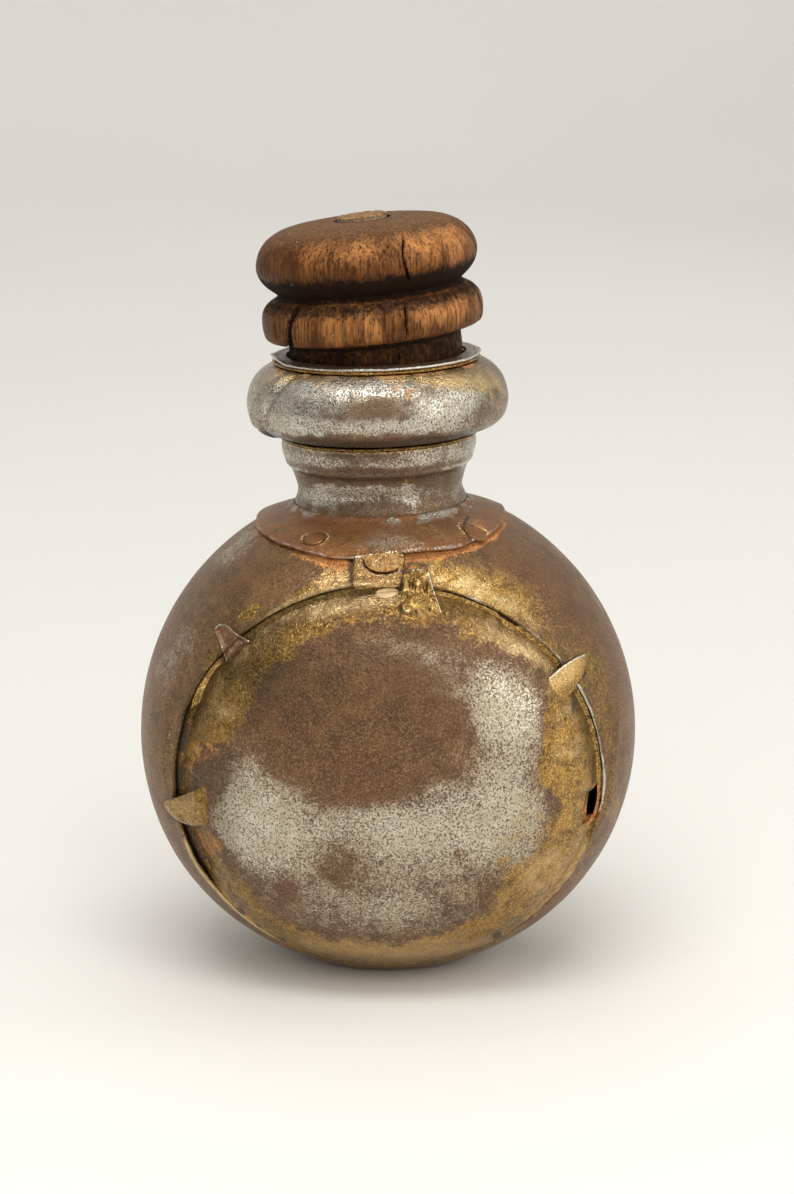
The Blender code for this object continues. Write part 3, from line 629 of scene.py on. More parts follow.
def panel_marks(P, D, clock, rho):
    """Where the front panel is bare, brassed, stained; D is the drawing place with small waves added."""
    silver = 0.11 + 1.12 * over(D, ((256, 806, 44, 34, -12, 0.46), (262, 838, 42, 30, 25, 0.22), (335, 832, 84, 30, 4, 0.38), (430, 815, 74, 42, -10, 0.40),
                                    (492, 826, 46, 38, -30, 0.28), (506, 704, 32, 32, -30, 0.56), (512, 752, 40, 44, 8, 0.38), (470, 676, 46, 24, -20, 0.20), (385, 662, 46, 26, 0, 0.11),
                                    (246, 762, 26, 26, 12, 0.28), (360, 886, 112, 34, 0, 0.23), (430, 886, 80, 40, -15, 0.17), (285, 872, 60, 26, 34, 0.20),
                                    (390, 920, 96, 22, -3, 0.18), (528, 835, 34, 44, -30, 0.30), (350, 655, 84, 16, -6, 0.07), (430, 652, 60, 16, 8, 0.17), (300, 700, 40, 30, 0, 0.06), (450, 720, 30, 60, 0, 0.12)))
    silver -= 0.12 * spot(D, 344, 860, 46, 24, 10, 0.9) + 0.07 * spot(D, 335, 868, 20, 12, -20, 0.8) + 0.20 * spot(D, 288, 891, 15, 10, 45, 0.8) + 0.22 * spot(D, 372, 786, 44, 16, 12, 0.8)
    silver -= 0.16 * spot(D, 352, 735, 96, 44, 0, 0.8) + 0.16 * spot(D, 458, 858, 12, 7, -10, 0.8) + 0.10 * spot(D, 420, 775, 40, 10, -6, 0.8)
    ring = inside(D, BRASS_BORDER)
    upper = 1.0 - step(720.0, 800.0, D[..., 1])
    slack = 4.0 + 14.0 * spot(D, 520, 880, 60, 60, 0, 0.9) + 8.0 * spot(D, 500, 650, 50, 24, 0, 0.9) + 8.0 * spot(D, 270, 700, 60, 60, 0, 0.9) \
        + 12.0 * spot(D, 390, 620, 90, 18, 0, 0.9)
    brass = 1.0 - step(-9.0 - slack, 7.0 + slack, ring)
    brass -= 0.30 * spot(D, 545, 800, 22, 14, 20, 0.8)
    brass = np.maximum(brass, 0.60 * spot(D, 505, 861, 13, 5, -20, 0.8))
    brass = np.maximum(brass, 0.36 * spot(D, 530, 832, 44, 50, -20, 0.8))
    brass = np.maximum(brass, 0.30 * spot(D, 460, 905, 80, 26, -24, 0.8))
    brass -= 0.55 * spot(D, 207, 776, 24, 44, 8, 0.7)
    brass -= 0.35 * spot(D, 232, 898, 28, 14, 44, 0.7)
    olive = 0.90 * (1.0 - step(-2.0, 14.0, ring)) * (1.0 - step(262.0, 330.0, D[..., 0])) * (1.0 - step(690.0, 745.0, D[..., 1]))
    olive *= 1.0 - 0.8 * spot(D, 224, 694, 17, 22, 0, 0.5)
    olive = np.maximum(olive, 0.55 * spot(D, 190, 870, 40, 40, 40))
    olive = np.maximum(olive, 0.35 * spot(D, 400, 905, 120, 24, 0, 0.9))
    # pinkish painted highlights along the top bead, at the upper right and at the upper left
    copper = 0.70 * spot(D, 345, 604, 62, 11, -12, 0.6)
    copper = np.maximum(copper, 0.45 * spot(D, 505, 640, 46, 16, 30, 0.7))
    copper = np.maximum(copper, 0.35 * spot(D, 268, 636, 34, 9, -38, 0.7))
    heat = over(D, ((206, 760, 22, 46, 10, 0.70), (238, 806, 9, 28, 4, 0.5), (243, 722, 10, 36, 16, 0.62), (481, 906, 9, 28, 36, 0.85), (446, 927, 28, 7, -12, 0.55),
                    (551, 799, 15, 12, 10, 0.75), (250, 896, 46, 11, 42, 0.55), (268, 668, 30, 7, -42, 0.50), (372, 628, 74, 8, 0, 0.85),
                    (470, 648, 50, 9, 20, 0.40), (204, 716, 5, 24, 18, 0.95), (222, 800, 14, 40, 6, 0.45)))
    heat = np.maximum(heat, 0.60 * upper * np.exp(-((ring - 8.0) / 6.5) ** 2) * (1.0 - 0.5 * step(470.0, 520.0, D[..., 0])))
    rust = 0.52 * spot(D, 208, 843, 15, 10, 30)
    rust = np.maximum(rust, 0.98 * spot(D, 591, 818, 12, 6.5, 10))
    rust = np.maximum(rust, 0.50 * spot(D, 205, 752, 14, 12, 20))
    rust = np.maximum(rust, 0.85 * spot(D, 593, 803, 9, 23, 8, 0.5))
    rust = np.maximum(rust, 0.40 * spot(D, 186, 725, 8, 24, 20))
    soot = 0.70 * spot(D, 238, 912, 7, 4.5, 40, 0.6)
    soot = np.maximum(soot, 0.42 * spot(D, 551, 800, 11, 8, 16, 0.8))
    soot = np.maximum(soot, 0.34 * spot(D, 236, 720, 7, 30, 18, 0.9))
    soot = np.maximum(soot, 0.75 * spot(D, 281, 941, 7, 4, 35, 0.6))
    soot = np.maximum(soot, 0.60 * spot(D, 302, 930, 6, 4, 20, 0.6))
    soot = np.maximum(soot, 0.55 * spot(D, 497, 936, 9, 6, -10, 0.6))
    return silver, brass, heat, rust, soot, olive, copper


# small craters and holes of the front: x, y, radius in drawing units, depth in mm, raised rim in mm
CRATERS = ((497, 936, 6.0, 0.55, 0.22), (487, 865, 5.0, 0.22, 0.10), (535, 912, 4.0, 0.35, 0.05), (575, 849, 3.0, 0.30, 0.05),
           (589, 717, 2.6, 0.80, 0.05), (257, 927, 3.6, 0.9, 0.05), (281, 941, 4.2, 0.9, 0.05), (240, 912, 5.5, 0.35, 0.05),
           (302, 930, 5.0, 0.30, 0.05), (525, 905, 4.5, 0.20, 0.05), (545, 838, 5.5, 0.12, 0.06), (568, 836, 6.0, 0.12, 0.06),
           (345, 812, 3.6, 0.16, 0.04), (425, 797, 4.0, 0.14, 0.05))


def crater_depth(D):
    out = np.zeros(D.shape[:-1])
    for x, y, r, deep, rim in CRATERS:
        d = np.hypot(D[..., 0] - x, D[..., 1] - y) / r
        out += -deep * (1.0 - step(0.35, 1.0, d)) + rim * np.exp(-((d - 1.15) / 0.30) ** 2)
    return out


# ------------------------------------------------------------------ hoop
def lip_lift(clock):
    """How far the hoop's edge stands up along the front seam, in mm."""
    return (0.55 * around(clock, 74.0, 22.0, 12.0) + 0.35 * around(clock, 30.0, 16.0, 8.0)
            + 0.50 * around(clock, 275.0, 28.0, 14.0) + 0.25 * around(clock, 330.0, 20.0, 10.0)
            + 0.35 * around(clock, 226.0, 16.0, 10.0))


def make_hoop(nu=470, nv=150):
    phi = warped(math.pi / 2, nu, 0.0)
    A, B = math.cos(SEAM_TILT), np.cos(phi) * math.sin(SEAM_TILT)
    R = np.hypot(A, B)
    edge = np.arcsin(EDGE_COS / R) + np.arctan2(B, A)
    ring = np.stack((np.sin(phi), np.zeros(nu), np.cos(phi)), -1) * 60.0
    front_edge = edge + (0.30 * fbm(ring, 11.0, 3, 3) - 0.55) / 62.6
    rear_edge = edge + (0.30 * fbm(ring, 12.0, 3, 9) - 0.55) / 62.6
    t = np.linspace(0.0, 1.0, nv)
    t = t - 0.105 * np.sin(2.0 * math.pi * t)       # closer together at both seams

    def directions(lam):
        return np.stack((np.sin(phi)[:, None] * np.cos(lam), -np.sin(lam), np.cos(phi)[:, None] * np.cos(lam)), -1)

    lam = front_edge[:, None] * (1.0 - t) - rear_edge[:, None] * t
    W = directions(lam)
    radius = hoop_base(W) + sheet_waves(W)
    P = W * radius[..., None]
    D = drawing(P)
    P3 = W * 65.0
    wob = np.stack((fbm(P3, 6.0, 3, 21), fbm(P3, 6.0, 3, 22)), -1) * 4.0
    Dw = D + wob * 0.4
    clock, angle = seam_polar(W, FRONT)
    clock_r, angle_r = seam_polar(W, REAR)
    s_f = (angle - EDGE_ANGLE) * RAD * 62.6          # distance out from the front seam
    s_r = (angle_r - EDGE_ANGLE) * RAD * 62.6
    facing = step(4.0, -14.0, P[..., 1])
    lift = lip_lift(clock) * np.exp(-(np.maximum(s_f, 0.0) / 1.5) ** 1.3)
    lift += 0.30 * lip_lift((clock_r * 1.0 + 110.0) % 360.0) * np.exp(-(np.maximum(s_r, 0.0) / 1.5) ** 1.3)
    # hammer marks towards the seams, crescent facet at the left, crease at the right
    near = np.exp(-(np.minimum(np.abs(s_f), np.abs(s_r)) / 7.0) ** 2)
    lift += near * 0.16 * fbm(P3, 4.2, 2, 31)
    facet = around(clock, 277.0, 8.0, 6.0) * step(-0.5, 0.3, s_f) * (1.0 - step(3.2, 4.4, s_f + 0.8 * ((clock - 277.0) / 9.0) ** 2))
    lift -= 0.42 * facet
    crease, along = line_distance(Dw, ((616, 700), (613, 742), (609, 775), (606, 800), (597, 822), (588, 842)))
    lift += facing * (0.34 * np.exp(-((crease - 3.5) / 3.2) ** 2) - 0.30 * np.exp(-(crease / 2.2) ** 2)) * step(0.0, 0.2, along) * (1.0 - step(0.85, 1.0, along))
    left_crease, along = line_distance(Dw, ((196, 640), (180, 668), (168, 700), (160, 722)))
    lift += facing * 0.22 * np.exp(-(left_crease / 3.0) ** 2) * step(0.0, 0.3, along) * (1.0 - step(0.7, 1.0, along))
    radius = radius + lift
    P = W * radius[..., None]
    # rounded edges
    beta = np.linspace(90.0, -90.0, 5)[1:-1] * RAD
    rim_f, rim_r = [], []
    for b in beta:
        w = directions((front_edge + 0.6 * math.cos(b) / 62.6)[:, None])[:, 0]
        rim_f.append(w * (radius[:, :1] - 0.6 + 0.6 * math.sin(b)))
        w = directions(-(rear_edge + 0.6 * math.cos(b) / 62.6)[:, None])[:, 0]
        rim_r.append(w * (radius[:, -1:] - 0.6 + 0.6 * math.sin(b)))
    inner_t = np.linspace(1.0, 0.0, 20)
    lam = front_edge[:, None] * (1.0 - inner_t) - rear_edge[:, None] * inner_t
    Wi = directions(lam)
    inner_r = hoop_base(Wi) + sheet_waves(Wi) - SHEET
    clock_i, angle_i = seam_polar(Wi, FRONT)
    inner_r += lip_lift(clock_i) * np.exp(-(np.maximum((angle_i - EDGE_ANGLE) * RAD * 62.6, 0.0) / 1.5) ** 1.3)
    I = Wi * inner_r[..., None]
    loop = np.concatenate([P] + [r[:, None] for r in rim_r] + [I] + [r[:, None] for r in rim_f[::-1]], axis=1)
    # the flat foot
    foot = -63.3
    deep = foot - loop[..., 2]
    level = 0.06 * np.abs(fbm(loop, 5.0, 2, 77))
    outer = np.linalg.norm(loop, axis=-1) > 63.4
    loop[..., 2] = np.where((deep > 0.0) & outer, foot + level * step(0.0, 1.0, deep), loop[..., 2])
    inner_floor = foot + SHEET
    loop[..., 2] = np.where((loop[..., 2] < inner_floor) & ~outer, inner_floor, loop[..., 2])
    return surface("hoop_sheet", loop, close_v=True)


def tube(name, radius, low, high, matrix, count=64):
    """A closed cylinder about the matrix's Z, in mm from the centre; matrix is (3x3, origin)."""
    turn, origin = matrix
    a = np.linspace(0.0, 2.0 * math.pi, count, endpoint=False)
    ring = np.stack((radius * np.cos(a), radius * np.sin(a)), -1)
    P = np.empty((count, 2, 3))
    for j, z in enumerate((low, high)):
        P[:, j, :2] = ring
        P[:, j, 2] = z
    return surface(name, P @ turn.T + origin, cap_start=True, cap_end=True)


hoop = make_hoop()
combine(hoop, tube("neck_hole", 22.5, 50.0, 72.0, (NECK, np.zeros(3)), 96), "DIFFERENCE")


TOOTH_RINGS = (((400, 612), (400, 592), (402, 576), (410, 563), (426, 566), (431, 583), (440, 608)),
               ((229, 669), (221, 646), (215, 630), (222, 623), (231, 629), (255, 644)),
               ((547, 679), (562, 667), (578, 657), (587, 656), (585, 671), (575, 690), (561, 702)),
               ((200, 827), (187, 826), (176, 820), (163, 803), (172, 798), (190, 792), (204, 784)),
               ((352, 556), (352, 585), (401, 588), (403, 556)))


def contact(D, reach=2.2):
    """Painted shade along the edges of the teeth and the strap, where they meet the sheets below."""
    out = np.zeros(D.shape[:-1])
    for ring, size in zip(TOOTH_RINGS, (0.9, 0.30, 0.5, 0.6, 0.9)):
        d, _ = line_distance(D, ring)
        out = np.maximum(out, size * np.exp(-(d / reach) ** 2))
    return out


def paint_hoop(obj):
    P = places(obj)
    D0 = drawing(P)
    wob = np.stack((fbm(P, 7.0, 3, 21), fbm(P, 7.0, 3, 22)), -1)
    D = D0 + wob * 6.0
    clock, angle = seam_polar(P, FRONT)
    clock_r, angle_r = seam_polar(P, REAR)
    s_f = (angle - EDGE_ANGLE) * RAD * 62.6
    s_r = (angle_r - EDGE_ANGLE) * RAD * 62.6
    front = step(2.0, -14.0, P[:, 1])
    n1 = fbm(P, 22.0, 3, 41)
    n2 = fbm(P, 9.0, 3, 44)
    turn, r_neck, z_neck = neck_polar(P)
    silver = 0.13 + 0.14 * n1 + 0.10 * n2
    silver += front * over(D, ((170, 668, 20, 46, 20, 0.24), (196, 640, 22, 26, 30, 0.16), (160, 800, 12, 60, -8, 0.08), (210, 590, 30, 34, 30, 0.10),
                               (596, 866, 24, 30, 30, 0.26), (238, 545, 30, 16, -30, 0.32), (545, 560, 40, 20, 30, 0.10)))
    silver -= front * 0.14 * spot(D, 270, 590, 60, 40, -30)
    silver += (1.0 - front) * (0.10 * step(-0.2, 0.7, n2) + 0.30 * step(-0.35, 0.75, n1 + 0.45 * n2))
    # brass: a wash that fades out from the seams, and the places where it ran
    brass = 0.66 * np.exp(-(np.maximum(s_f, 0.0) / (1.6 + 2.6 * around(clock, 45.0, 40.0, 40.0) + 3.0 * around(clock, 120.0, 40.0, 30.0))) ** 2) * step(0.0, 0.6, 0.5 + n2)
    brass *= 1.0 - 0.90 * around(clock, 298.0, 26.0, 14.0)
    brass *= 1.0 - 0.80 * around(clock, 335.0, 14.0, 8.0)
    brass = np.maximum(brass, front * over(D, ((470, 596, 46, 17, 22, 0.80), (440, 580, 28, 14, 10, 0.70), (520, 608, 36, 16, 42, 0.50), (424, 562, 30, 8, -8, 0.55),
                                               (500, 585, 44, 22, 30, 0.34), (560, 612, 60, 40, 45, 0.16))))
    brass = np.maximum(brass, front * over(D, ((606, 740, 10, 76, -3, 0.38), (602, 818, 16, 30, 20, 0.42), (596, 672, 14, 30, -10, 0.50), (580, 640, 20, 30, -40, 0.26),
                                               (620, 760, 20, 60, 0, 0.22))))
    brass = np.maximum(brass, front * 0.85 * spot(D0 + wob * 2.5, 248, 615, 15, 6.0, -38, 0.25))
    brass = np.maximum(brass, front * 0.75 * spot(D0 + wob * 2.5, 211, 659, 5, 14, 30, 0.35))
    brass = np.maximum(brass, front * over(D, ((335, 577, 16, 10, -14, 0.85), (312, 590, 26, 6, -26, 0.60), (285, 602, 26, 4, -30, 0.35))))
    brass = np.maximum(brass, front * 0.72 * step(930.0, 950.0, D[:, 1] + 0.10 * np.abs(D[:, 0] - 390.0)))
    back = step(0.0, 14.0, P[:, 1])
    brass = np.maximum(brass, back * 0.72 * np.exp(-(np.maximum(s_r, 0.0) / 3.6) ** 2) * step(-0.35, 0.35, n2 + 0.2))
    olive = 0.35 + 0.3 * n2 + front * 0.5 * step(560.0, 600.0, D[:, 0])
    olive *= 1.0 - 0.8 * front * spot(D, 462, 586, 50, 24, 20, 0.8)
    facet = around(clock, 277.0, 8.0, 5.0) * step(-0.5, 0.3, s_f) * (1.0 - step(3.0, 4.2, s_f + 0.8 * ((clock - 277.0) / 9.0) ** 2))
    brass = np.maximum(brass, 0.50 * facet)
    olive = np.maximum(olive, facet)
    rim = step(0.58, 0.10, np.abs(s_f + 0.15)) * step(61.6, 62.5, np.linalg.norm(P, axis=1))
    rubbed = rim * (0.95 * around(clock, 80.0, 18.0, 4.0) + 0.70 * around(clock, 38.0, 14.0, 5.0) + 0.40 * around(clock, 18.0, 5.0, 4.0) + 0.30 * around(clock, 288.0, 8.0, 8.0))
    rubbed *= 0.72 + 0.28 * step(-0.3, 0.3, fbm(P, 3.0, 2, 47))
    # painted highlights: a gold line along parts of the lip and bright patches on the brass above the seam
    gleam = np.clip(step(1.6, 0.1, np.abs(s_f)) * step(61.0, 62.2, np.linalg.norm(P, axis=1)) * (0.10 * around(clock, 299.0, 9.0, 4.0) + 0.6 * around(clock, 340.0, 12.0, 8.0)
                                                                                     + 0.85 * around(clock, 233.0, 16.0, 8.0)), 0.0, 1.0)
    gleam = np.maximum(gleam, front * step(-0.3, 0.3, fbm(P, 4.0, 3, 46)) * over(D, ((462, 586, 34, 12, 20, 0.60), (333, 575, 18, 8, -14, 0.75), (520, 612, 30, 8, 42, 0.35))))
    brass = np.maximum(brass, gleam)
    facet_rim = np.exp(-((s_f - 3.6 + 0.8 * ((clock - 277.0) / 9.0) ** 2) / 0.35) ** 2) * around(clock, 277.0, 9.0, 3.0)
    rubbed = np.maximum(rubbed, 0.42 * facet_rim)
    # rust comes out from under the shoulder plate
    beyond = r_neck - plate_outline(turn)
    top = step(40.0, 46.0, z_neck)
    halo = top * np.exp(-(np.maximum(beyond, 0.0) / 1.5) ** 2) * (0.55 + 0.40 * around(turn, 25.0, 40.0, 30.0) + 0.25 * n2)
    halo = np.where(beyond < -1.5, 0.0, halo)
    rust = halo
    rust = np.maximum(rust, front * 0.62 * spot(D0 + wob * 2.0, 414, 562, 22, 6, -14, 0.6))
    rust = np.maximum(rust, front * 0.5 * spot(D, 352, 552, 26, 6, 4, 0.7))
    # painted shade with the soot: a dark line along the shoulder plate's edge, the hoop's inner face and the bottom of
    # its foot
    soot = 0.55 * top * np.exp(-((beyond - 0.2) / 0.7) ** 2)
    soot = np.maximum(soot, front * 0.75 * spot(D0, 350.5, 572, 2.2, 16, 0, 0.5))
    soot = np.maximum(soot, front * 1.00 * spot(D0, 352.5, 558, 6, 4.0, 0, 0.35))
    soot = np.maximum(soot, front * 0.42 * spot(D, 437, 569, 9, 6, 0, 0.6))
    soot = np.maximum(soot, step(62.0, 61.3, np.linalg.norm(P, axis=1)) * 0.9)
    soot = np.maximum(soot, step(-61.6, -63.1, P[:, 2]) * 0.55)
    # the grey crease that runs down from the end of the slot
    fold, _ = line_distance(D0 + wob * 1.5, ((603, 822), (598, 842), (586, 862), (566, 888), (545, 908)))
    brass = brass * (1.0 - front * 0.75 * np.exp(-(fold / 6.0) ** 2))
    heat_fold = front * 0.55 * np.exp(-(fold / 5.0) ** 2)
    heat = front * 0.35 * spot(D, 545, 610, 14, 26, 40)
    heat = np.maximum(heat, front * 0.30 * spot(D, 176, 870, 16, 50, -28))
    heat = np.maximum(heat, np.maximum(0.25 * step(0.15, 0.6, n1), heat_fold))
    cream = front * (0.36 * spot(D0 + wob * 2.0, 333, 580, 13, 8, -14, 0.5) + 0.30 * spot(D, 452, 583, 20, 7, 14, 0.6))
    shade = front * contact(D0) * step(60.5, 62.0, np.linalg.norm(P, axis=1))
    shade = np.maximum(shade, 0.30 * np.exp(-(np.minimum(np.abs(s_f), np.abs(s_r)) / 0.8) ** 2))
    shade = np.maximum(shade, 0.60 * np.exp(-((s_f + 0.2) / 0.5) ** 2) * around(clock, 299.0, 9.0, 4.0))
    shade = np.maximum(shade, front * 0.30 * spot(D, 560, 622, 12, 30, 42, 0.7))
    shade = np.maximum(shade, front * (0.16 * spot(D, 560, 590, 60, 50, 40, 0.9) + 0.16 * spot(D, 604, 740, 14, 80, -3, 0.8)))
    # a pinkish painted highlight on the brass beside the strap
    copper = front * 0.6 * spot(D, 333, 578, 20, 10, -14, 0.6)
    paint(obj, silver=silver, brass=brass, rubbed=rubbed, rust=rust, soot=soot, heat=heat, cream=cream, olive=olive, shade=shade, copper=copper,
          gleam=gleam)


# ------------------------------------------------------------------ dished panels
def valley(clock):
    """Width of the open valley inside the front seam, in mm."""
    return (0.35 * around(clock, 24.0, 30.0, 20.0) + 0.8 * around(clock, 334.0, 20.0, 14.0) + 0.25 * around(clock, 76.0, 18.0, 14.0)
            + 1.4 * around(clock, 268.0, 24.0, 16.0))


def gap(clock):
    """Where the panel has sprung away from the hoop at the left, 0 to 1."""
    return np.maximum.reduce([around(clock, 282.5, 3.5, 2.5), around(clock, 271.0, 2.5, 2.0), 0.9 * around(clock, 250.5, 6.0, 4.0), 0.6 * around(clock, 34.5, 1.4, 1.6)])


def make_panel(name, normal, seed, valley_of, gap_of, craters, nu=470, nv=118):
    clock = np.linspace(0.0, 360.0, nu, endpoint=False)
    t = np.linspace(0.0, 1.0, nv)
    share = 1.0 - (1.0 - t) ** 1.45
    wide = valley_of(clock)
    edge_r = 53.35 - wide
    edge_h = 29.6 + 0.75 * np.minimum(wide, 1.5)
    r = edge_r[:, None] * share
    full = np.maximum(1.0 - share ** 2.3, 0.0) ** 0.625
    h = edge_h[:, None] + (52.5 - edge_h[:, None]) * full
    a = clock[:, None] * RAD
    local = np.stack((r * np.sin(a), r * np.cos(a), h), -1)
    x, y, z = axes_of(normal)
    base = np.stack((x, y, z))
    P = local @ base
    # outward direction of the dish
    dr = np.gradient(r, axis=1)
    dh = np.gradient(h, axis=1)
    size = np.hypot(dr, dh) + 1e-9
    out = np.stack((-dh / size * np.sin(a), -dh / size * np.cos(a), dr / size), -1) @ base
    rho = share * 53.35
    lift = 0.30 * fbm(P, 34.0, 3, seed) + 0.09 * fbm(P, 7.5, 2, seed + 3) - 0.30
    lift *= 1.0 - step(48.0, 53.0, rho)
    lift += 0.16 * fbm(P, 3.6, 2, seed + 5) * step(40.0, 47.0, rho) * (1.0 - step(51.5, 53.0, rho))
    # a soft bead where the shoulder was hammered
    lift += 0.30 * np.exp(-((rho - 47.5) / 2.2) ** 2) * (0.5 + 0.5 * np.sin(a * 2.0 + 0.7 + seed))
    lift += 0.42 * np.exp(-((rho - 49.6) / 1.5) ** 2) * around(clock, 345.0, 50.0, 25.0)[:, None]
    lift -= 1.15 * gap_of(clock)[:, None] * step(47.5, 50.5, rho)
    if craters:
        D = drawing(P)
        lift += crater_depth(D)
    P = P + out * lift[..., None]
    # valley floor, then the lap under the hoop
    floor = []
    for k in (0.35, 0.7):
        rr = edge_r + (53.35 - edge_r) * k
        hh = edge_h + (29.6 - edge_h) * k ** 0.8 - 0.5 * gap_of(clock) * (1.0 - k)
        floor.append(np.stack((rr * np.sin(a[:, 0]), rr * np.cos(a[:, 0]), hh), -1) @ base)
    lap = []
    lap_angle = math.degrees(math.acos((30.4 - 4.4) / 63.8))
    for k in np.linspace(0.0, 1.0, 5):
        ang = np.full(nu, EDGE_ANGLE + (lap_angle - EDGE_ANGLE) * k)
        W = from_seam(clock, ang, np.ones(nu), normal)
        lap.append(W * (hoop_base(W) + sheet_waves(W) - SHEET - 0.4)[:, None])
    inner = []
    for k in np.linspace(1.0, 0.25, 3):
        ang = np.full(nu, EDGE_ANGLE + (lap_angle - EDGE_ANGLE) * k)
        W = from_seam(clock, ang, np.ones(nu), normal)
        inner.append(W * (hoop_base(W) + sheet_waves(W) - 2.0 * SHEET - 0.4)[:, None])
    for s in (0.955, 0.93, 0.88, 0.8, 0.68, 0.52, 0.34, 0.16, 0.0):
        rr = 51.6 * s + 0.0 * clock
        hh = 29.6 + (51.2 - 29.6) * max(1.0 - s ** 2.3, 0.0) ** 0.625 - 0.25
        inner.append(np.stack((rr * np.sin(a[:, 0]), rr * np.cos(a[:, 0]), hh + 0.0 * clock), -1) @ base)
    loop = np.concatenate([P] + [q[:, None] for q in floor + lap + inner], axis=1)
    return surface(name, loop, pole_start=True, pole_end=True)


front_dish = make_panel("front_dish", FRONT, 51, valley, gap, True)
def seam_slot(low_clock, high_clock, rho, width, normal):
    """A curved narrow cutter through the panel just inside the hoop's edge."""
    clock = np.linspace(low_clock, high_clock, 9)
    x, y, z = axes_of(normal)
    base = np.stack((x, y, z))
    a = clock * RAD
    wide = width * (0.55 + 0.45 * np.sin(np.linspace(0.35, math.pi - 0.2, 9)))
    ring = []
    for dr, h in ((-0.5, 26.0), (0.5, 26.0), (0.5, 38.0), (-0.5, 38.0)):
        r = rho + dr * wide + (32.0 - h) * 0.30
        ring.append(np.stack((r * np.sin(a), r * np.cos(a), np.full(9, h)), -1) @ base)
    return surface("slot_cutter", np.stack(ring, 0), cap_start=True, cap_end=True)


combine(front_dish, seam_slot(91.0, 101.5, 51.9, 2.0, FRONT), "DIFFERENCE")


def rear_valley(clock):
    return 1.1 * around(clock, 20.0, 60.0, 30.0) + 1.3 * around(clock, 290.0, 30.0, 20.0) + 0.9 * around(clock, 110.0, 30.0, 20.0)


def rear_gap(clock):
    return np.maximum(0.8 * around(clock, 84.0, 4.0, 3.0), 0.7 * around(clock, 276.0, 5.0, 3.0))


rear_dish = make_panel("rear_dish", REAR, 151, rear_valley, rear_gap, False)

# ------------------------------------------------------------------ brass in the seams
def seam_run(name, normal, start, sweep, broad, full, seed, nu=440, ns=24):
    """Brass along a seam: it fills the valley up to the lip where full(clock) is 1, and covers it where broad(clock) is 1."""
    k = np.linspace(0.0, 1.0, nu)
    clock = start + sweep * k
    wide = broad(clock)
    fill = np.maximum(full(clock), wide)
    ring = from_seam(clock, np.full(nu, EDGE_ANGLE), np.full(nu, 62.0), normal)
    wob_in = fbm(ring, 5.0, 3, seed)
    wob_out = fbm(ring, 5.0, 3, seed + 4)
    a0 = 56.6 + (55.3 - 56.6) * wide + 0.45 * wob_in * (0.5 + wide)
    a1 = EDGE_ANGLE - 0.55 + 0.75 * fill + 1.9 * wide + (0.22 + 0.7 * wide) * wob_out
    r0 = 59.9 + (61.2 - 59.9) * wide
    r1 = 61.25 + (0.62 + 0.35 * around(clock % 360.0, 60.0, 50.0, 20.0)) * fill + 0.50 * wide
    bulge = 0.75 * wide
    taper = step(0.0, 0.03, k) * step(1.0, 0.97, k)
    w = np.linspace(0.0, 1.0, ns)
    ang = a0[:, None] + (a1 - a0)[:, None] * w
    rad = r0[:, None] + (r1 - r0)[:, None] * w ** (2.0 - 0.8 * wide[:, None]) + bulge[:, None] * np.sin(math.pi * w)
    cl = np.repeat(clock[:, None], ns, 1)
    W = from_seam(cl, ang, np.ones_like(ang), normal)
    rad = rad + sheet_waves(W) + 0.14 * fbm(W * 65.0, 2.6, 3, seed + 8) * (0.5 + wide[:, None])
    rad = rad - 1.2 * (1.0 - taper[:, None])
    top = W * rad[..., None]
    low = W * (rad - 0.9 - 0.2 * wide[:, None])[..., None]
    loop = np.concatenate((top, low[:, ::-1]), axis=1).transpose(1, 0, 2)
    return surface(name, loop, cap_start=True, cap_end=True)


def front_full(clock):
    """1 where the front seam is filled to the lip; 0 where it gapes."""
    c = np.asarray(clock) % 360.0
    open_at = np.maximum.reduce([around(c, 282.0, 5.0, 2.5), around(c, 270.5, 3.5, 2.0), around(c, 250.0, 7.0, 3.0), 0.8 * around(c, 34.0, 2.2, 2.0),
                                 0.35 * around(c, 24.0, 9.0, 4.0), 0.20 * around(c, 73.0, 10.0, 4.0), 0.30 * around(c, 330.0, 16.0, 8.0)])
    return 1.0 - open_at


def rear_full(clock):
    c = np.asarray(clock) % 360.0
    return 1.0 - np.maximum.reduce([around(c, 84.0, 5.0, 3.0), around(c, 276.0, 6.0, 3.0), 0.6 * around(c, 20.0, 14.0, 6.0), 0.5 * around(c, 325.0, 10.0, 5.0)])


def front_broad(clock):
    c = np.asarray(clock) % 360.0
    return step(97.0, 116.0, c) * (1.0 - step(226.0, 246.0, c))


def rear_broad(clock):
    c = np.asarray(clock) % 360.0
    return step(130.0, 150.0, c) * (1.0 - step(236.0, 252.0, c))


front_run = seam_run("front_brass_run", FRONT, 288.0, 316.0, front_broad, front_full, 81)
combine(front_run, seam_slot(90.6, 102.0, 51.9, 2.2, FRONT), "DIFFERENCE")
rear_run = seam_run("rear_brass_run", REAR, 128.0, 318.0, rear_broad, rear_full, 91)


def sight(D):
    """Fixed lines of the drawing: a start and the directions, in mm."""
    f = np.array((0.0, math.cos(TILT), -math.sin(TILT)))
    u = np.array((0.0, math.sin(TILT), math.cos(TILT)))
    r = np.array((1.0, 0.0, 0.0))
    start = -786.0 * f + 2.37 * r + 34.23 * u
    way = f + ((D[..., 0] - 397.0) / 2985.0)[..., None] * r - ((D[..., 1] - 597.0) / 2985.0)[..., None] * u
    return start, way / np.linalg.norm(way, axis=-1)[..., None]


def carried_by(*objects):
    """Search trees of finished sheets, for laying further pieces on them."""
    graph = bpy.context.evaluated_depsgraph_get()
    return [BVHTree.FromObject(obj, graph) for obj in objects]


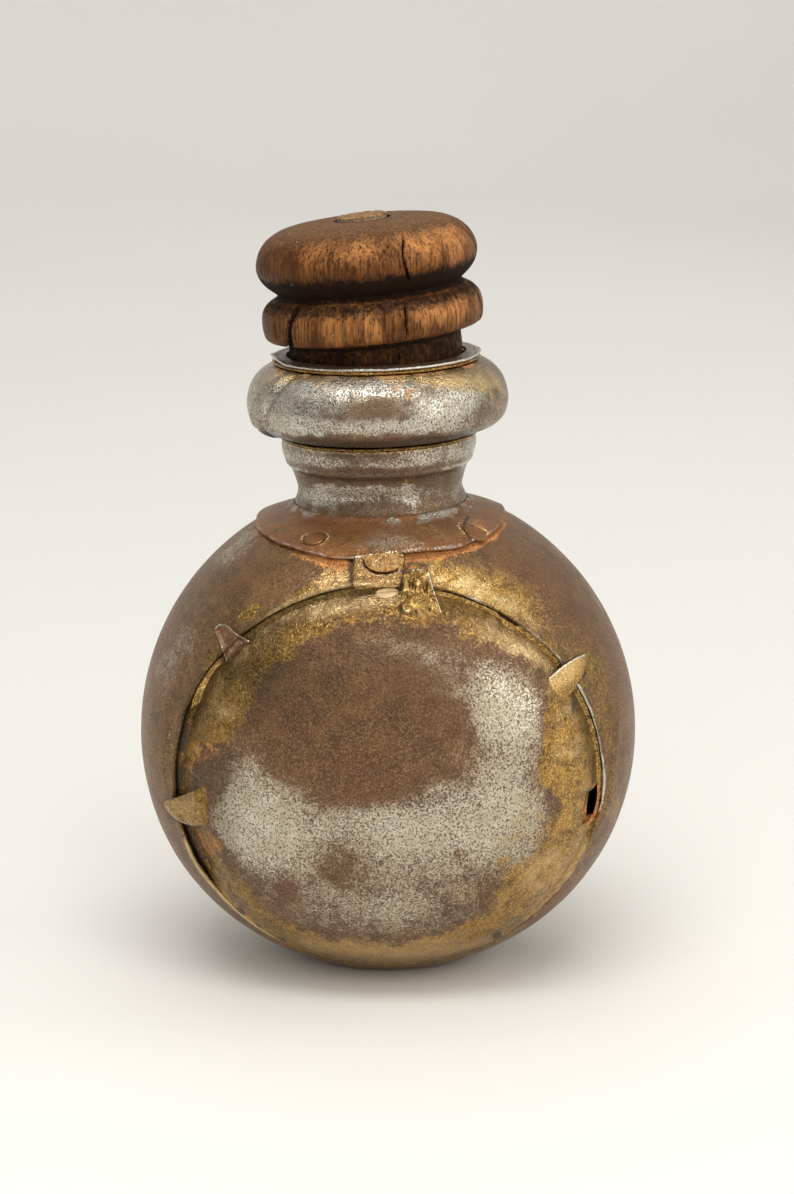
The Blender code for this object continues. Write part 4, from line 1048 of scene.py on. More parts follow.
def ground(D, trees):
    """Where each drawing place meets the nearest of the sheets, in mm."""
    start, way = sight(D)
    origin = Vector((start + CENTRE) / 1000.0)
    out = np.zeros(D.shape[:-1] + (3,))
    for at in np.ndindex(D.shape[:-1]):
        best = None
        for tree in trees:
            hit = tree.ray_cast(origin, Vector(way[at]))
            if hit[0] is not None and (best is None or hit[3] < best[1]):
                best = (hit[0], hit[3])
        if best is None:
            out[at] = out[at[:-1] + (at[-1] - 1,)] if at[-1] > 0 else (0.0, 0.0, 60.0)
        else:
            out[at] = np.array(best[0]) * 1000.0 - CENTRE
    return out


def raised_to(G, D, radius):
    """The places on the same lines of the drawing that lie at other distances from the body's middle."""
    _, way = sight(D)
    b = np.sum(G * way, axis=-1)
    root = np.sqrt(np.maximum(b * b - (np.sum(G * G, axis=-1) - radius ** 2), 0.0))
    return G + way * (-b + np.where(b < 0.0, -root, root))[..., None]


def eased(r):
    padded = np.concatenate((r[:1], r, r[-1:]))
    r = 0.25 * padded[:-2] + 0.5 * padded[1:-1] + 0.25 * padded[2:]
    padded = np.concatenate((r[:, :1], r, r[:, -1:]), axis=1)
    return 0.25 * padded[:, :-2] + 0.5 * padded[:, 1:-1] + 0.25 * padded[:, 2:]


def laid_sheet(name, left, right, trees, lift, thick, nt=52, ns=30, bridge=14, flat=0):
    """A piece of sheet between two lines of the drawing, from its root (t=0) to its tip (t=1), lying on the sheets.

    With flat it is stiff: it rests on the highest places and does not follow the edge that it crosses.
    """
    L, R = smooth_profile(left, nt), smooth_profile(right, nt)
    q = np.linspace(0.0, 1.0, ns)
    q = q - 0.06 * np.sin(2.0 * math.pi * q) * 1.0
    D = L[:, None] * (1.0 - q)[None, :, None] + R[:, None] * q[None, :, None]
    G = ground(D, trees)
    r = np.linalg.norm(G, axis=-1)
    W = G / r[..., None]
    soft = r.copy()
    for _ in range(bridge):
        soft = eased(soft)
    T = np.repeat(np.linspace(0.0, 1.0, nt)[:, None], ns, 1)
    Q = np.repeat((q * 2.0 - 1.0)[None, :], nt, 0)
    if flat:
        stiff = r.copy()
        for _ in range(flat):
            stiff = eased(stiff)
        over_it = (r - stiff).max()
        r = r + (stiff + over_it - r) * step(0.04, 0.42, T)
    else:
        r = r + (np.maximum(r, soft) - r) * (step(0.10, 0.40, T) if bridge > 4 else 1.0)
    up = lift(T, Q, W * r[..., None])
    body = thick * (1.0 - 0.55 * np.abs(Q) ** 8)
    top = raised_to(G, D, r + up + body / 2.0)
    low = top * (1.0 - (up - np.minimum(up, 0.9) + body) / (r + up + body / 2.0))[..., None]
    loop = np.concatenate((top, low[:, ::-1]), axis=1).transpose(1, 0, 2)
    return surface(name, loop, cap_start=True, cap_end=True)


def creases(P, size, seed):
    """Sharp folds in a crushed sheet: 1 along a crease, 0 away from it."""
    Q = P / np.linalg.norm(P, axis=-1)[..., None] * 64.0
    Q = Q + 1.1 * np.stack([perlin(Q, size * 1.3, seed + k) for k in (1, 2, 3)], -1)
    Q = Q * np.array((1.25, 0.55, 0.55))
    a, b = np.abs(perlin(Q, size, seed)), np.abs(perlin(Q, size * 0.50, seed + 5))
    return np.clip(np.maximum(1.0 - a / 0.30, 0.60 * (1.0 - b / 0.30)), 0.0, 1.0) * (0.55 + 0.45 * step(-0.4, 0.4, perlin(Q, size * 1.2, seed + 9)))


def leaf_lift(root, over_lip, tip, curl, crinkle, seed, size=2.4, folds=0.0):
    def lift(T, Q, P):
        up = root + (over_lip - root) * step(0.0, 0.42, T) + (tip - over_lip) * step(0.6, 1.0, T)
        up = up + curl * np.abs(Q) ** 4 * step(0.12, 0.45, T)
        up = up + crinkle * (fbm(P, size, 3, seed) + 0.5 * np.abs(fbm(P, size * 0.55, 2, seed + 3))) * step(0.0, 0.3, T)
        return up + folds * creases(P, 3.0, seed) * step(0.0, 0.2, T)
    return lift


front_sheets = carried_by(hoop, front_dish, front_run)
TEETH = [
    # crinkled tab beside the strap
    (laid_sheet("tooth_top", ((402, 619), (400, 608), (401, 597), (402, 586), (405, 577), (409, 571.5), (414, 568.5)),
                ((444, 619), (440, 608), (436, 597), (433, 588), (431, 580), (429, 573.5), (425, 569.5)), front_sheets,
                leaf_lift(-0.55, 0.25, 0.35, 0.18, 0.12, 61, 2.0, 0.62), 0.9, 90, 56, bridge=24, flat=120), "top"),
    # folded one at the upper left, its edges turned up
    (laid_sheet("tooth_left", ((229, 669), (226, 660), (221, 646), (217, 636), (215, 630), (217, 625.5)),
                ((255, 644), (246, 639), (237, 634), (231, 629), (227, 625), (222, 623.5)), front_sheets,
                leaf_lift(-0.6, 0.35, 0.50, 0.95, 0.10, 62, 4.0), 0.55, 56, 40), "left"),
    # smooth leaf at the upper right, its tip pointing up and out
    (laid_sheet("tooth_right", ((545, 686), (548, 679.5), (557, 671), (566, 664), (575, 658.5), (582, 655), (585.5, 654)),
                ((556, 707), (563, 701), (571, 693), (577, 684), (583, 674), (586.5, 664), (587.5, 656)), front_sheets,
                leaf_lift(-0.7, 0.40, 0.65, 0.12, 0.10, 63, 5.0), 0.8, 70, 40, bridge=24, flat=240), "right"),
    # leaf at the lower left, its tip pointing out
    (laid_sheet("tooth_low", ((219, 826), (208, 826), (197, 826), (187, 824.5), (177, 820), (169, 813), (164.5, 806.5), (163.2, 803.2)),
                ((212, 780), (205, 784), (198, 788.5), (190, 792.5), (181, 796), (172, 798.5), (166, 800.5), (163.8, 802)), front_sheets,
                leaf_lift(-0.8, 0.40, 0.30, 0.08, 0.12, 64, 5.0), 0.8, 70, 40, bridge=24, flat=200), "low"),
]
rear_sheets = carried_by(hoop, rear_dish, rear_run)


def rear_leaf(name, clock, reach, root_half, tip_half, root_angle, turn_by, lift, thick, seed):
    """A tooth of the rear seam, laid out round the seam's axis and then put on the sheets from outside."""
    nt, ns = 52, 30
    t = np.linspace(0.0, 1.0, nt)
    q = np.linspace(-1.0, 1.0, ns)
    angle = root_angle + (EDGE_ANGLE + reach - root_angle) * t
    half = (root_half + (tip_half - root_half) * t ** 1.2) * np.sqrt(np.clip(1.0 - ((t - 0.86) / 0.145).clip(0.0) ** 2, 0.02, 1.0))
    wobble = 1.0 + 0.10 * np.sin(5.0 * t + seed)
    C = clock + turn_by * t[:, None] + np.degrees(q[None, :] * (half * wobble)[:, None] / (62.0 * np.sin(np.radians(angle)))[:, None])
    A = angle[:, None] + 0.0 * C + 0.5 * np.sin(q * 2.0 + seed)[None, :] * t[:, None]
    W = from_seam(C, A, np.ones_like(C), REAR)
    r = np.zeros((nt, ns))
    for at in np.ndindex(nt, ns):
        start = (W[at] * 80.0 + CENTRE) / 1000.0
        best = 1.0
        for tree in rear_sheets:
            hit = tree.ray_cast(Vector(start), Vector(-W[at]))
            if hit[0] is not None and hit[3] < best:
                best = hit[3]
        r[at] = 80.0 - best * 1000.0 if best < 1.0 else 61.0
    soft = r.copy()
    for _ in range(14):
        padded = np.concatenate((soft[:1], soft, soft[-1:]))
        soft = 0.25 * padded[:-2] + 0.5 * padded[1:-1] + 0.25 * padded[2:]
    r = np.maximum(r, soft)
    T = np.repeat(t[:, None], ns, 1)
    Q = np.repeat(q[None, :], nt, 0)
    up = lift(T, Q, W * r[..., None])
    body = thick * (1.0 - 0.55 * np.abs(Q) ** 8)
    top = W * (r + up + body / 2.0)[..., None]
    low = W * (r + np.minimum(up, 0.9) - body / 2.0)[..., None]
    return surface(name, np.concatenate((top, low[:, ::-1]), axis=1).transpose(1, 0, 2), cap_start=True, cap_end=True)


REAR_TEETH = [
    rear_leaf("rear_tooth_1", 352.0, 4.2, 4.4, 2.4, 48.5, 1.0, leaf_lift(-0.7, 0.70, 0.8, 0.12, 0.20, 161, 4.0), 0.9, 0.4),
    rear_leaf("rear_tooth_2", 299.0, 4.4, 4.6, 1.7, 49.0, -1.5, leaf_lift(-0.7, 0.45, 0.5, 0.60, 0.12, 162, 4.0), 0.7, 1.7),
    rear_leaf("rear_tooth_3", 62.0, 3.9, 5.0, 1.9, 49.0, 2.0, leaf_lift(-0.7, 0.75, 0.8, 0.10, 0.14, 163, 5.0), 0.9, 2.9),
    rear_leaf("rear_tooth_4", 118.0, 3.5, 4.4, 2.1, 49.0, -2.0, leaf_lift(-0.7, 0.70, 0.6, 0.10, 0.14, 164, 5.0), 0.9, 4.2),
]


def paint_tooth(obj, which, seed):
    P = places(obj)
    D = drawing(P)
    n = fbm(P, 3.0, 3, seed)
    brass = {"top": 1.0, "left": 0.22, "right": 1.0, "low": 0.95}.get(which, 0.9) + 0.2 * n
    olive = {"top": 0.05, "left": 0.5, "right": 0.0, "low": 0.55}.get(which, 0.3) + 0.25 * n
    gleam = 0.10 * step(0.0, 0.5, n)
    rubbed = np.zeros(len(P))
    shade = np.zeros(len(P))
    soot = 0.30 * step(0.25, 0.6, fbm(P, 2.0, 2, seed + 5))
    lines = {"top": ((((428, 571), (432, 583), (437, 598), (443, 615)), 0.90, 2.0), (((409, 571), (416, 569), (425, 570)), 0.50, 2.0)),
             "left": ((((215, 629), (217, 636), (221, 646), (229, 669)), 0.95, 1.9), (((215, 629), (217, 625.5), (222, 624), (228, 626)), 0.95, 1.9), (((228, 626), (237, 634), (255, 644)), 0.95, 1.9)),
             "right": ((((547, 680), (562, 668), (576, 658.5), (585, 654.5)), 0.62, 1.8),),
             "low": ((((164, 803), (177, 820), (188, 825)), 0.45, 1.4), (((164, 802), (172, 798.5), (184, 795)), 0.35, 1.2))}.get(which, ())
    for line, size, wide in lines:
        d, _ = line_distance(D, line)
        rubbed = np.maximum(rubbed, size * (1.0 - step(0.4, wide, d)))
    if which == "top":
        # painted highlights on the fold crests, painted shade between the folds and along the left edge
        folds = creases(P, 3.0, 61)
        gleam = 0.60 * step(0.62, 1.0, folds)
        shade = 0.40 * (1.0 - step(0.0, 0.5, folds)) * (0.5 + 0.5 * step(-0.3, 0.3, n))
        left, _ = line_distance(D, ((400, 612), (400, 592), (403, 574)))
        shade = np.maximum(shade, 0.8 * np.exp(-(left / 3.0) ** 2))
        soot = 0.0 * n
    if which == "left":
        shade = 0.34 * (1.0 - step(0.0, 9.0, np.hypot(D[:, 0] - 230.0, D[:, 1] - 644.0)))
    if which == "right":
        gleam = 0.06 + 0.34 * spot(D, 562, 674, 20, 8, -38, 0.8)
        shade = np.maximum(0.30 * spot(D, 584, 670, 5, 14, 20, 0.8), 0.30 * spot(D, 562, 700, 16, 8, -30, 0.8))
    if which == "low":
        gleam = 0.15 * spot(D, 180, 806, 16, 8, -20, 0.8)
        shade = np.maximum(0.18 + 0.12 * n, 0.85 * spot(D, 217, 804, 13, 34, 0, 0.9))
    paint(obj, brass=brass, olive=olive, gleam=gleam, rubbed=rubbed, shade=shade, soot=soot, silver=0.25 + 0.2 * n, heat=0.25 * step(0.1, 0.5, n))


def paint_front(obj):
    P = places(obj)
    D0 = drawing(P)
    wob = np.stack((fbm(P, 8.0, 4, 71), fbm(P, 8.0, 4, 72)), -1)
    D = D0 + wob * 11.0
    clock, angle = seam_polar(P, FRONT)
    rho = np.linalg.norm(P - (P @ FRONT)[:, None] * FRONT, axis=1)
    silver, brass, heat, rust, soot, olive, copper = panel_marks(P, D, clock, rho)
    wob2 = D0 + wob * 3.0
    n = fbm(P, 12.0, 3, 75)
    n2 = fbm(P, 5.0, 3, 79)
    silver += 0.10 * n
    # painted shade: the lap hidden under the hoop, the gaps where the panel sprang away and the strip just inside the
    # lip are painted dark
    inward = step(61.6, 60.6, np.linalg.norm(P, axis=1)) * step(50.5, 51.8, rho)
    hidden = step(EDGE_ANGLE - 0.6, EDGE_ANGLE + 0.5, angle) * step(62.0, 61.0, np.linalg.norm(P, axis=1))
    soot = np.maximum(soot, hidden)
    soot = np.maximum(soot, 0.80 * gap(clock) * step(50.8, 52.2, rho))
    soot = np.maximum(soot, 0.30 * inward)
    brass = np.maximum(brass, 0.95 * spot(wob2, 206, 682, 6, 26, 30, 0.5))
    # painted highlights: the top bead, the upper left and right, the right side, the lower right and, further down, the
    # bottom edge
    gleam = 0.92 * spot(wob2, 340, 604, 84, 8, -10, 0.8) * (0.35 + 0.65 * step(-0.35, 0.20, n2))
    gleam = np.maximum(gleam, 0.45 * spot(D, 262, 637, 36, 7, -42, 0.7) * step(-0.2, 0.3, n2))
    gleam = np.maximum(gleam, 1.00 * spot(D, 516, 650, 38, 12, 32, 0.7) * (0.45 + 0.55 * step(-0.35, 0.30, n2)))
    gleam = np.maximum(gleam, 0.55 * spot(D, 552, 672, 12, 18, -20, 0.7) * step(-0.3, 0.4, n2))
    gleam = np.maximum(gleam, 0.45 * spot(D, 226, 694, 14, 20, 10, 0.7) * step(-0.2, 0.4, n2))
    gleam = np.maximum(gleam, 0.40 * spot(D, 545, 880, 40, 26, -40, 0.8) * step(-0.2, 0.4, n2))
    gleam = np.maximum(gleam, 0.50 * spot(D, 575, 740, 14, 46, 4, 0.8) * step(-0.1, 0.5, n2))
    near = np.exp(-((rho - 52.3) / 1.1) ** 2)
    shade = (0.45 * near + 0.30 * np.exp(-((rho - 51.0) / 1.5) ** 2)) * (1.0 - around(clock, 172.0, 70.0, 12.0))
    shade = np.maximum(shade, contact(D0) * step(-10.0, -20.0, P[:, 1]))
    shade = np.maximum(shade, 0.70 * spot(D, 246, 672, 42, 38, 20, 0.9))
    shade = np.maximum(shade, 0.34 * spot(D, 214, 712, 16, 36, 14, 0.9))
    shade = np.maximum(shade, 0.40 * spot(D, 216, 790, 20, 60, 0, 0.9))
    gleam = np.maximum(gleam, 0.34 * spot(D, 395, 950, 130, 12, 0, 0.9))
    shade = np.maximum(shade, 0.34 * spot(D, 235, 898, 44, 20, 42, 0.9))
    shade = np.maximum(shade * (1.0 - gleam), 0.0)
    soot = np.maximum(soot, 0.75 * spot(D0 + wob * 2.0, 575.5, 703, 4.0, 13, 10, 0.5))
    slot_way, _ = line_distance(D0, ((596.0, 788.0), (594.0, 800.0), (591.5, 815.0)))
    rust = np.maximum(rust, 0.9 * (1.0 - step(3.0, 6.5, slot_way)))
    rubbed = np.zeros(len(P))
    cream = 0.22 * spot(D, 345, 606, 44, 7, -10, 0.7)
    cream = np.maximum(cream, 0.90 * spot(D0 + wob * 2.0, 387, 592.5, 11.5, 5, -4, 0.25))
    paint(obj, silver=silver, brass=brass, rubbed=rubbed, rust=rust, soot=soot, heat=heat, cream=cream, olive=olive, copper=copper, shade=shade, gleam=gleam)


def paint_rear(obj):
    P = places(obj)
    clock, angle = seam_polar(P, REAR)
    rho = np.linalg.norm(P - (P @ REAR)[:, None] * REAR, axis=1)
    x, y, z = axes_of(REAR)
    u, v = P @ x, P @ y
    wave = fbm(P, 15.0, 4, 171)
    wave2 = fbm(P, 6.0, 3, 175)
    silver = 0.12 + 0.62 * step(-0.55, 0.75, 0.8 * wave + 0.9 * np.exp(-((u + 10.0) / 30.0) ** 2 - ((v + 13.0) / 17.0) ** 2) + 0.25 * wave2)
    silver = np.maximum(silver, 0.55 * np.exp(-((u - 21.0) / 13.0) ** 2 - ((v - 12.0) / 16.0) ** 2) + 0.22 * wave + 0.10)
    silver -= 0.16 * np.exp(-((u + 4.0) / 18.0) ** 2 - ((v - 14.0) / 10.0) ** 2)
    border = 46.0 + 5.5 * wave + 3.0 * np.sin(clock * RAD * 2.0 + 1.0) + 2.0 * np.sin(clock * RAD * 5.0)
    brass = 0.92 * step(-3.4, 3.4, rho - border + 1.5 * wave2) * (1.0 - 0.55 * around(clock, 250.0, 30.0, 20.0)) * (0.72 + 0.28 * step(-0.4, 0.3, wave2))
    # painted highlight along the rear bead
    gleam = 0.45 * step(0.1, 0.5, wave2) * np.exp(-((rho - 48.0) / 2.5) ** 2)
    heat = 0.7 * np.exp(-((rho - border + 2.5) / 2.2) ** 2) * step(-0.1, 0.3, wave2)
    # painted shade: the lap hidden under the hoop and the gaps are painted dark
    hidden = step(EDGE_ANGLE - 0.6, EDGE_ANGLE + 0.5, angle) * step(62.0, 61.0, np.linalg.norm(P, axis=1))
    soot = np.maximum(hidden, 0.8 * rear_gap(clock) * step(50.8, 52.2, rho))
    rust = 0.6 * rear_gap(clock + 5.0) * step(50.0, 52.0, rho)
    near = np.exp(-((rho - 52.3) / 1.2) ** 2)
    olive = 0.5 * step(-0.2, 0.4, wave2) + 0.0 * rho
    paint(obj, silver=silver, brass=brass, rust=rust, soot=soot, heat=heat, olive=olive, shade=0.55 * near * (1.0 - around(clock, 192.0, 50.0, 12.0)),
          gleam=gleam)


def paint_run(obj, normal, seed):
    P = places(obj)
    n = fbm(P, 7.0, 3, seed)
    n2 = fbm(P, 3.0, 2, seed + 3)
    clock, angle = seam_polar(P, normal)
    D = drawing(P)
    soot = 0.30 * step(0.1, 0.6, n2)
    heat = 0.45 * step(0.15, 0.5, n)
    rust = 0.30 * step(0.3, 0.6, fbm(P, 5.0, 2, seed + 9))
    cream = 0.0 * n
    # bright gold patches; on the front also painted highlights on the bright ridge at the left and on the right side
    gleam = 0.45 * step(-0.1, 0.5, n2)
    wide = front_broad(clock) if normal is FRONT else rear_broad(clock)
    narrow = 1.0 - wide
    bright = around(clock, 299.0, 8.0, 3.0) if normal is FRONT else 0.0 * n
    right = around(clock, 60.0, 52.0, 16.0)
    shade = narrow * (0.60 - 0.48 * bright - 0.46 * right + 0.16 * step(0.0, 0.5, n2))
    olive = narrow * (0.80 - 0.75 * bright - 0.60 * right) + 0.15 * wide
    if normal is FRONT:
        for x, y, size in ((257, 927, 5.0), (281, 941, 5.5), (240, 912, 6.0), (497, 936, 7.0), (575, 849, 4.0), (589, 717, 3.0)):
            soot = np.maximum(soot, 0.95 * spot(D, x, y, size, size * 0.7, 30, 0.5))
        rust = np.maximum(rust, 0.55 * spot(D, 315, 962, 12, 6, 10, 0.5))
        slot_way, _ = line_distance(D, ((596.0, 788.0), (594.0, 800.0), (591.5, 815.0)))
        rust = np.maximum(rust, 0.98 * (1.0 - step(4.5, 8.0, slot_way + 2.5 * step(812.0, 790.0, D[:, 1]))))
        cream = 0.95 * spot(D + np.stack((n2, n), -1) * 3.0, 387, 592.5, 12.0, 5.2, -4, 0.2)
        shade = np.maximum(shade * (1.0 - cream), contact(D) * 0.9 * (1.0 - cream))
        gleam = np.maximum(gleam * (1.0 - bright), bright * (0.34 + 0.60 * step(-0.2, 0.4, fbm(P, 2.0, 3, seed + 12))))
        gleam = np.maximum(gleam, 0.45 * right * step(-0.2, 0.4, n2))
        rust = np.maximum(rust, 0.55 * around(clock, 281.0, 6.0, 3.0) * step(-0.3, 0.3, n2))
        shade = np.maximum(shade, 0.75 * bright * step(58.0, 56.8, angle))
    paint(obj, brass=0.98 - 0.25 * step(0.1, 0.5, n), soot=soot * (1.0 - bright), heat=heat * (1.0 - bright), rust=rust, silver=0.2 + 0.0 * n, olive=olive,
          shade=shade, gleam=gleam, cream=cream, copper=0.35 * bright)


# ------------------------------------------------------------------ shoulder plate
RIVETS = (("shoulder_rivet_1", -31.0, 31.6), ("shoulder_rivet_2", 44.0, 32.6), ("shoulder_rivet_3", 142.0, 32.0), ("shoulder_rivet_4", -145.0, 32.0))
# how each flush head looks on the plate: turn, distance, half length round the neck, half length outwards
HEADS = ((-31.0, 31.9, 2.9, 2.2), (45.0, 32.9, 2.7, 3.4), (142.0, 32.0, 2.8, 2.3), (-145.0, 32.0, 2.8, 2.3))


def neck_way(turn, radius, shell=65.0):
    t = np.radians(turn)
    z = np.sqrt(shell * shell - radius * radius)
    local = np.stack((radius * np.sin(t), -radius * np.cos(t), z), -1) @ NECK.T
    return local / np.linalg.norm(local, axis=-1)[..., None]


def on_plate(turn, radius):
    """Drop of the plate's top at each place: pockets of the rivet heads, and how far each head is away."""
    drop = np.zeros(np.broadcast(turn, radius).shape)
    ring = np.zeros_like(drop)
    for t0, r0, ha, hr in HEADS:
        da = ((turn - t0 + 180.0) % 360.0 - 180.0) * RAD * r0 / ha
        dr = (radius - r0) / hr
        d = np.hypot(da, dr)
        drop += -0.50 * (1.0 - step(0.99, 1.12, d)) + 0.26 * np.exp(-((d - 1.26) / 0.11) ** 2)
        ring = np.maximum(ring, np.exp(-((d - 1.04) / 0.15) ** 2))
    return drop, ring


def plate_lift(turn, radius):
    """Waves of the plate above the hoop, larger at its edge."""
    t = np.radians(turn)
    edge = step(26.0, 36.0, radius)
    return edge * (0.22 + 0.22 * np.sin(2.0 * t + 1.1) + 0.16 * np.sin(5.0 * t + 0.4) + 0.10 * np.sin(9.0 * t))


def make_plate(nu=520, nv=58):
    w = np.linspace(-math.pi, math.pi, nu, endpoint=False)
    turn = np.degrees(w - 0.35 * np.sin(w))
    nicks = 0.22 * fbm(np.stack((np.cos(turn * RAD), np.sin(turn * RAD), 0.0 * turn), -1) * 34.0, 4.5, 3, 201)
    outline = plate_outline(turn) + nicks - 0.15
    notch = 0.85 * np.exp(-((turn - 43.0) / 1.2) ** 2) + 0.35 * np.exp(-((turn - 39.0) / 2.4) ** 2)
    outline = outline - notch
    t = np.linspace(0.0, 1.0, nv)
    radius = 22.25 + (outline[:, None] - 22.25) * t
    T = np.repeat(turn[:, None], nv, 1)
    W = neck_way(T, radius)
    hoop_r = hoop_base(W) + sheet_waves(W)
    drop, _ = on_plate(T, radius)
    collar = 0.9 * np.exp(-((radius - 22.3) / 1.5) ** 2)     # the plate turns up a little against the neck
    top = hoop_r + 0.35 + 1.0 + plate_lift(T, radius) + drop + collar + 0.10 * fbm(W * 65.0, 6.0, 3, 203)
    P = W * top[..., None]
    edge = []
    for b in np.linspace(90.0, -90.0, 5)[1:-1] * RAD:
        wd = neck_way(turn, outline + 0.32 * math.cos(b))
        edge.append(wd * (top[:, -1] - 0.45 + 0.45 * math.sin(b))[:, None])
    ti = np.linspace(1.0, 0.0, 12)
    radius_i = 22.25 + (outline[:, None] - 22.25) * ti
    Ti = np.repeat(turn[:, None], 12, 1)
    Wi = neck_way(Ti, radius_i)
    low = hoop_base(Wi) + sheet_waves(Wi) + 0.35 + plate_lift(Ti, radius_i) + 0.9 * np.exp(-((radius_i - 22.3) / 1.5) ** 2)
    I = Wi * low[..., None]
    loop = np.concatenate([P] + [e[:, None] for e in edge] + [I], axis=1)
    return surface("shoulder_sheet", loop, close_v=True)


def paint_plate(obj):
    P = places(obj)
    turn, radius, z = neck_polar(P)
    D = drawing(P)
    wob = np.stack((fbm(P, 6.0, 3, 211), fbm(P, 6.0, 3, 212)), -1)
    Dw = D + wob * 6.0
    n = fbm(P, 10.0, 3, 213)
    _, ring = on_plate(turn, radius)
    front = step(0.0, -12.0, P[:, 1])
    silver = 0.12 + 0.15 * n + front * 0.22 * spot(Dw, 384, 545, 36, 8, 0, 0.8)
    silver += front * 0.26 * spot(Dw, 425, 527, 60, 18, -10, 0.8)
    silver += 0.50 * step(26.0, 23.0, radius + 2.6 * n) * step(-0.25, 0.25, fbm(P, 4.5, 3, 217))
    brass = front * 0.36 * spot(Dw, 430, 530, 56, 20, -10, 0.8) + 0.14 * step(0.1, 0.5, n)
    brass = np.maximum(brass, front * 0.25 * spot(Dw, 480, 500, 26, 14, 20, 0.8))
    heat_plate = np.maximum(0.22 * step(0.0, 0.5, -n), front * 0.35 * spot(Dw, 440, 520, 60, 16, -10, 0.9))
    rust = 0.50 * ring * step(0.15, -0.25, fbm(P, 3.0, 2, 215))
    rust = np.maximum(rust, 0.25 * front * spot(Dw, 285, 520, 30, 20, 0))
    beyond = plate_outline(turn) - radius
    W = P / np.linalg.norm(P, axis=1)[:, None]
    above = np.linalg.norm(P, axis=1) - hoop_base(W) - sheet_waves(W) - plate_lift(turn, radius)
    rubbed = 0.46 * (1.0 - step(-0.14, 0.12, beyond)) * step(0.80, 0.98, above) * (0.72 + 0.28 * step(-0.3, 0.3, fbm(P, 4.0, 3, 216)))
    # painted highlight on the raised rims round the rivet heads; painted shade in the groove round each head, at the
    # neck and in the crescent gap
    raised = step(0.30, 0.80, on_plate(turn, radius)[0] * 4.0)
    brass = np.maximum(brass, 0.95 * raised)
    soot = 0.20 * np.exp(-((radius - 22.6) / 0.7) ** 2) + 0.60 * step(0.70, 0.95, ring)
    crescent, _ = line_distance(D, ((468, 517), (464, 524), (466, 532), (472, 540), (480, 545)))
    soot = np.maximum(soot, front * 0.95 * (1.0 - step(0.8, 2.6, crescent)))
    rust = np.maximum(rust, front * 0.55 * spot(Dw, 482, 532, 9, 14, -20, 0.6))
    paint(obj, silver=silver, brass=brass, rust=rust, rubbed=rubbed, soot=soot, heat=heat_plate, gleam=0.85 * raised)


plate = make_plate()


def plain_disc(name, centre_way, lift_low, lift_high, half_a, half_r, seed, nu=72, nr=14, clip=None):
    """A flush rivet head with its shank: an oval button that follows the plate."""
    t0, r0 = centre_way
    a = np.linspace(0.0, 2.0 * math.pi, nu, endpoint=False)
    rows = []
    for s in np.linspace(0.0, 1.0, nr):
        turn = t0 + np.degrees(s * half_a * np.sin(a) / r0)
        radius = r0 + s * half_r * np.cos(a)
        if clip is not None:
            radius = clip(turn, radius)
        W = neck_way(turn, radius)
        dome = 0.16 * (1.0 - s ** 2)
        round_off = -0.22 * step(0.86, 1.0, s)
        rows.append(W * (hoop_base(W) + sheet_waves(W) + lift_high + dome + round_off + 0.07 * fbm(W * 65.0, 1.6, 2, seed))[:, None])
    for s, lift in ((1.0, lift_low + 0.1), (0.62, lift_low), (0.60, lift_low - 1.0), (0.5, lift_low - 2.2), (0.0, lift_low - 2.2)):
        turn = t0 + np.degrees(s * half_a * np.sin(a) / r0)
        radius = r0 + s * half_r * np.cos(a)
        if clip is not None:
            radius = clip(turn, radius)
        W = neck_way(turn, radius)
        rows.append(W * (hoop_base(W) + sheet_waves(W) + lift)[:, None])
    return surface(name, np.stack(rows, 1), pole_start=True, pole_end=True)


heads = []
for (node, turn_at, away), (t0, r0, ha, hr) in zip(RIVETS, HEADS):
    lift = 1.35 + float(plate_lift(np.array(t0), np.array(r0)))
    head = plain_disc(node.replace("rivet", "rivet_head"), (t0, r0), lift - 0.5, lift + 0.04, ha * 0.90, hr * 0.90, 220 + len(heads))
    heads.append((head, node))


# ------------------------------------------------------------------ strap and its rivet
def strap_lift(T, Q, P):
    """t runs from the lower edge up under the shoulder plate."""
    D = drawing(P)
    crescent, along = line_distance(D, ((364.5, 561), (367, 567), (374, 571.5), (386, 573.0), (396, 569.5)))
    above = step(571.0, 567.0, D[..., 1] + 0.004 * (D[..., 0] - 384.0) ** 2)
    lift = 0.80 + 0.10 * fbm(P, 3.0, 3, 231)
    lift = lift - 0.80 * np.exp(-(crescent / 1.6) ** 2) + 0.50 * np.exp(-((crescent - 3.4) / 1.5) ** 2) * (1.0 - above)
    lift = lift + 0.45 * np.exp(-(T / 0.09) ** 2)
    lift = lift - 0.25 * step(0.93, 1.0, np.abs(Q))
    return lift


def make_strap():
    """A short strap of sheet on the hoop between the shoulder plate and the seam."""
    return laid_sheet("strap_sheet", ((352.5, 586.0), (352.5, 579), (353, 570), (353.5, 562), (354, 553)),
                      ((400.5, 590), (401.5, 582), (402.5, 573), (403, 565), (403, 559), (403, 551.0)), carried_by(hoop), strap_lift, 0.95, 46, 60, bridge=4)


def cap_fix(obj):
    """Triangulates the long end faces."""
    import bmesh
    bm = bmesh.new()
    bm.from_mesh(obj.data)
    long_faces = [f for f in bm.faces if len(f.verts) > 4]
    bmesh.ops.triangulate(bm, faces=long_faces)
    bm.to_mesh(obj.data)
    bm.free()


strap = make_strap()


def clip_to_plate(turn, radius):
    return np.maximum(radius, plate_outline(turn) + 0.30)


strap_head = plain_disc("strap_rivet_head", (1.2, 36.9), 1.25, 2.05, 4.9, 2.9, 241, nu=96, nr=20, clip=clip_to_plate)


